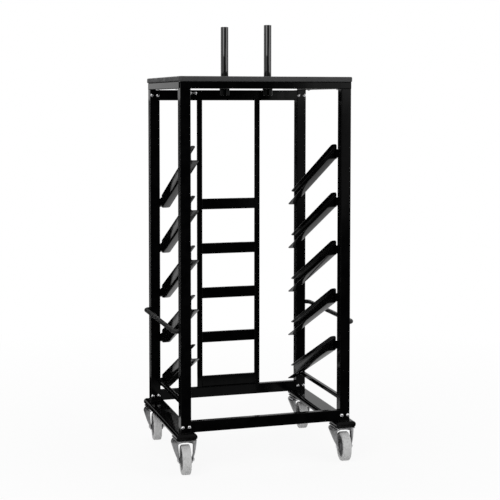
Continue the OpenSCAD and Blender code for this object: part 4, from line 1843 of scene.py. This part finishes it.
@dataclass
class Studio:
    """Pale floor, white surroundings, soft lamps and dark cards."""

    sky: float = 0.55
    floor_size: float = 60.0
    floor_tone: float = 0.86
    floor_lift: float = 0.9
    fade_near: float = 0.8
    fade_far: float = 3.0
    lamps: tuple[Softbox, ...] = (
        Softbox("key_softbox", place=(-2.6, -2.6, 2.9), aim=(0, 0, 0.9), size=2.4, power=56),
        Softbox("fill_softbox", place=(2.8, -2.4, 1.9), aim=(0, 0, 0.8), size=2.0, power=26),
        Softbox("back_softbox", place=(0.4, 3.0, 3.2), aim=(0, 0, 1.0), size=2.2, power=34),
        Softbox("strip_softbox", place=(2.2, -5.0, 1.85), aim=(0, 0, 1.6), size=0.6, power=2.5),
    )
    cards: tuple[DarkCard, ...] = (
        DarkCard("front_card_low", (-4.0, -7.0, 0.0), (2.35, -7.0, 1.3)),
        DarkCard("front_card_right", (2.35, -7.0, 0.0), (6.0, -7.0, 0.35)),
        DarkCard("front_card_high", (-4.0, -7.0, 1.3), (2.55, -7.0, 4.5)),
        DarkCard("front_floor_card", (-4.0, -7.0, CARD_LIFT), (6.0, -0.75, CARD_LIFT)),
        DarkCard("side_card_left", (-2.2, 1.5, 0.0), (-0.775, 1.5, 1.575)),
        DarkCard("side_card_right", (-0.655, 1.5, 0.0), (-0.02, 1.5, 1.575)),
        DarkCard("side_floor_card", (-2.6, 0.6, CARD_LIFT), (-0.45, 1.5, CARD_LIFT)),
        DarkCard("inner_floor_card", (-0.45, 0.4, CARD_LIFT), (-0.05, 1.2, CARD_LIFT)),
        DarkCard("back_card_low", (0.3, 5.0, 1.0), (1.5, 5.0, 1.58)),
        DarkCard("back_card_high", (0.3, 5.0, 1.66), (1.5, 5.0, 2.4)),
    )

    def build(self) -> None:
        """Set up the world, the floor, the lamps and the cards."""
        scene = bpy.context.scene
        scene.view_settings.view_transform = "Standard"
        self.world(scene)
        self.floor()
        for item in (*self.lamps, *self.cards):
            item.build()

    def seen_rays(self, bench: NodeBench) -> bpy.types.NodeSocket:
        """Find the rays of the camera, of gloss and of glass.

        Args:
            bench: Tree that gets the nodes.

        Returns:
            Socket that is 1 for these rays.
        """
        path = bench.node("ShaderNodeLightPath")
        total = path.outputs["Is Camera Ray"]
        for key in ("Is Glossy Ray", "Is Transmission Ray"):
            total = bench.combine("MAXIMUM", total, path.outputs[key])
        return total

    def world(self, scene: bpy.types.Scene) -> None:
        """White to the eye and to reflections, softer as a light.

        Args:
            scene: Scene that the world surrounds.
        """
        scene.world = bpy.data.worlds.new("studio")
        scene.world.use_nodes = True
        bench = NodeBench(scene.world.node_tree)
        bench.tree.nodes.clear()
        back = bench.node("ShaderNodeBackground")
        back.inputs["Color"].default_value = (1, 1, 1, 1)
        strength = bench.spread(self.seen_rays(bench), self.sky, 1.0, start=0.0, end=1.0)
        bench.link(strength, back.inputs["Strength"])
        output = bench.node("ShaderNodeOutputWorld")
        bench.link(back.outputs["Background"], output.inputs["Surface"])

    def floor(self) -> None:
        """Pale floor that keeps the shadow and fades into the white."""
        half = self.floor_size / 2
        corners = [(-half, -half, 0), (half, -half, 0), (half, half, 0), (-half, half, 0)]
        mesh = mesh_of("studio_floor", corners, [(0, 1, 2, 3)])
        material = bpy.data.materials.new("pale_floor")
        material.use_nodes = True
        bench = NodeBench(material.node_tree)
        bench.tree.nodes.clear()
        matt = bench.node("ShaderNodeBsdfDiffuse")
        matt.inputs["Color"].default_value = (self.floor_tone, self.floor_tone, self.floor_tone, 1)
        white = bench.node("ShaderNodeEmission")
        far = bench.node("ShaderNodeVectorMath", operation="LENGTH")
        bench.link(bench.node("ShaderNodeTexCoord").outputs["Object"], far.inputs[0])
        fade = bench.spread(far.outputs["Value"], self.floor_lift, 1.0, self.fade_near, self.fade_far)
        mix = bench.node("ShaderNodeMixShader")
        sockets = (bench.combine("MULTIPLY", fade, self.seen_rays(bench)), matt.outputs[0], white.outputs[0])
        for source, target in zip(sockets, mix.inputs):
            bench.link(source, target)
        output = bench.node("ShaderNodeOutputMaterial")
        bench.link(mix.outputs[0], output.inputs["Surface"])
        mesh.materials.append(material)
        floor = object_of("studio_floor", mesh)


CORNERS = ("front_left", "front_right", "back_left", "back_right")


def dress_cad_nodes() -> None:
    """Give the CAD nodes that stay in view their finish, by the record's own slots."""
    slots = {slot.value: slot for slot in Slot}
    for part in frame["record"]["subparts"]:
        for place in frame["nodes"][part["node"]].material_slots:
            place.material = MATERIALS[slots[part["material_slot"]]]


def main() -> None:
    """Build the camera, the stage and every piece, in order."""
    logging.basicConfig(level=logging.INFO, format="%(message)s")
    PhotoCamera().build()
    Studio().build()
    dress_cad_nodes()
    Lid().build()
    for side in Side:
        Pin(side).build()
        SlotGuides(side).build()
        SideHandle(side).build()
    castors = [Castor(corner) for corner in CORNERS]
    for castor in castors:
        castor.build()
    PlateBolts().build(castors)
    FrameBolts().build()
    LidScrews().build()
    BaseCaps().build()
    WeldBeads().build()


if __name__ == "__main__":
    main()
